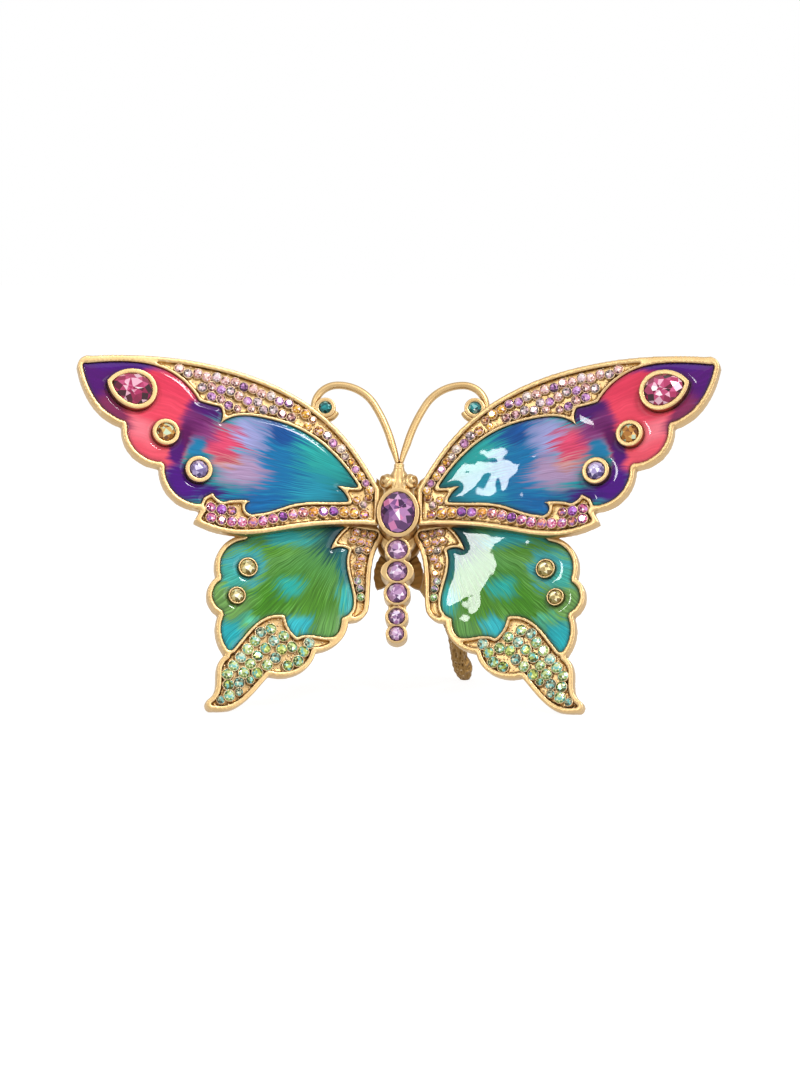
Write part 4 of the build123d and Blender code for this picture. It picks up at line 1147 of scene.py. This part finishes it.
class BUTTERFLY_OT_stage(bpy.types.Operator):
    """Lay the floor, light it softly and set the camera"""
    bl_idname = "butterfly.stage"
    bl_label = "Stage"

    def execute(self, context):
        settings = context.scene.butterfly_stage
        scene = context.scene
        scene.view_settings.view_transform = "Standard"
        mesh = bpy.data.meshes.new("floor")
        mesh.from_pydata([(-3, -3, 0), (3, -3, 0), (3, 3, 0), (-3, 3, 0)], [], [(0, 1, 2, 3)])
        floor = new_piece(context, "floor", mesh)
        mesh.materials.append(self.paper(settings))
        self.sky(scene, settings)
        aim = from_plane((0.0, 0.0, 0.0), BODY)
        for name, (towards, distance, size) in LAMPS.items():
            self.softbox(context, name, aim, towards, distance, size, getattr(settings, name))
        self.camera(context, aim, settings)
        return {"FINISHED"}

    def paper(self, settings):
        """Matt white paper, bright enough to run into the backdrop, that still takes a soft shadow."""
        material, tree, shader = new_material("white_paper_sweep")
        shader.inputs["Roughness"].default_value = 1.0
        shader.inputs["Specular IOR Level"].default_value = 0.0
        fibre = node(tree, "ShaderNodeTexNoise", {
            "Vector": node(tree, "ShaderNodeTexCoord").outputs["Object"], "Scale": 1 / (3.0 * MM)})
        dim = [0.98 * channel for channel in settings.floor]
        tone = node(tree, "ShaderNodeMix", {
            "Factor": fibre.outputs["Fac"], 6: (*dim, 1.0), 7: (*settings.floor, 1.0)}, data_type="RGBA")
        tree.links.new(tone.outputs[2], shader.inputs["Base Color"])
        share = node(tree, "ShaderNodeMath", {0: seen(tree), 1: 0.75}, operation="MULTIPLY")
        glow = node(tree, "ShaderNodeEmission", {"Strength": 1.18})
        mixed = node(tree, "ShaderNodeMixShader", {
            0: share.outputs[0], 1: shader.outputs["BSDF"], 2: glow.outputs[0]})
        tree.links.new(mixed.outputs[0], tree.nodes["Material Output"].inputs["Surface"])
        return material

    def sky(self, scene, settings):
        world = bpy.data.worlds.new("studio")
        scene.world = world
        world.use_nodes = True
        tree = world.node_tree
        tree.nodes.clear()
        strength = node(tree, "ShaderNodeMapRange", {
            "Value": seen(tree), "To Min": settings.sky, "To Max": 1.0})
        light = node(tree, "ShaderNodeBackground", {
            "Color": (1.0, 1.0, 1.0, 1.0), "Strength": strength.outputs[0]})
        node(tree, "ShaderNodeOutputWorld", {"Surface": light.outputs[0]})

    def softbox(self, context, name, aim, towards, distance, size, power):
        light = bpy.data.lights.new(name, "AREA")
        light.shape = "RECTANGLE"
        light.size, light.size_y = size
        light.energy = power
        lamp = bpy.data.objects.new(name, light)
        context.scene.collection.objects.link(lamp)
        back = Vector(towards).normalized()
        lamp.location = aim + back * distance
        lamp.rotation_euler = back.to_track_quat("Z", "Y").to_euler()

    def camera(self, context, aim, settings):
        """A long lens, a little above the ornament and a little to its right."""
        elevation, azimuth = math.radians(CAMERA_HEIGHT), math.radians(CAMERA_TURN)
        back = Vector((math.sin(azimuth) * math.cos(elevation), -math.cos(azimuth) * math.cos(elevation),
                       math.sin(elevation)))
        across = Vector((0.0, 0.0, 1.0)).cross(back).normalized()
        rise = back.cross(across)
        lens = bpy.data.cameras.new("camera")
        lens.sensor_width = 36.0
        lens.lens = lens.sensor_width * FOCAL_PIXELS / IMAGE_PIXELS
        lens.clip_start = 0.01
        lens.clip_end = 20.0
        camera = bpy.data.objects.new("camera", lens)
        context.scene.collection.objects.link(camera)
        camera.location = (aim + back * settings.distance
                           + across * CAMERA_ACROSS * MM - rise * CAMERA_BELOW * MM)
        camera.rotation_euler = back.to_track_quat("Z", "Y").to_euler()
        context.scene.camera = camera


class BUTTERFLY_PT_panel(bpy.types.Panel):
    """The ornament's pieces and their settings"""
    bl_idname = "BUTTERFLY_PT_panel"
    bl_label = "Butterfly Ornament"
    bl_space_type = "VIEW_3D"
    bl_region_type = "UI"
    bl_category = "Butterfly"

    def draw(self, context):
        for operator in OPERATORS:
            self.layout.operator(operator.bl_idname)
        for name, kind in SETTINGS.items():
            group = getattr(context.scene, name)
            box = self.layout.box()
            for field in kind.__annotations__:
                box.prop(group, field)


OPERATORS = (
    BUTTERFLY_OT_castings,
    BUTTERFLY_OT_head,
    BUTTERFLY_OT_stand,
    BUTTERFLY_OT_enamel,
    BUTTERFLY_OT_crystals,
    BUTTERFLY_OT_pave,
    BUTTERFLY_OT_stage,
)
SETTINGS = {
    "butterfly_castings": CastingSettings,
    "butterfly_enamel": EnamelSettings,
    "butterfly_crystals": CrystalSettings,
    "butterfly_stage": StageSettings,
}


def register():
    for kind in (*SETTINGS.values(), *OPERATORS, BUTTERFLY_PT_panel):
        bpy.utils.register_class(kind)
    for name, kind in SETTINGS.items():
        setattr(bpy.types.Scene, name, PointerProperty(type=kind))


def unregister():
    for name in SETTINGS:
        delattr(bpy.types.Scene, name)
    for kind in (BUTTERFLY_PT_panel, *reversed(OPERATORS), *reversed(SETTINGS.values())):
        bpy.utils.unregister_class(kind)


def main():
    register()
    bpy.ops.butterfly.castings()
    bpy.ops.butterfly.head()
    bpy.ops.butterfly.stand()
    bpy.ops.butterfly.enamel()
    bpy.ops.butterfly.crystals()
    bpy.ops.butterfly.pave()
    bpy.ops.butterfly.stage()


if __name__ == "__main__":
    main()
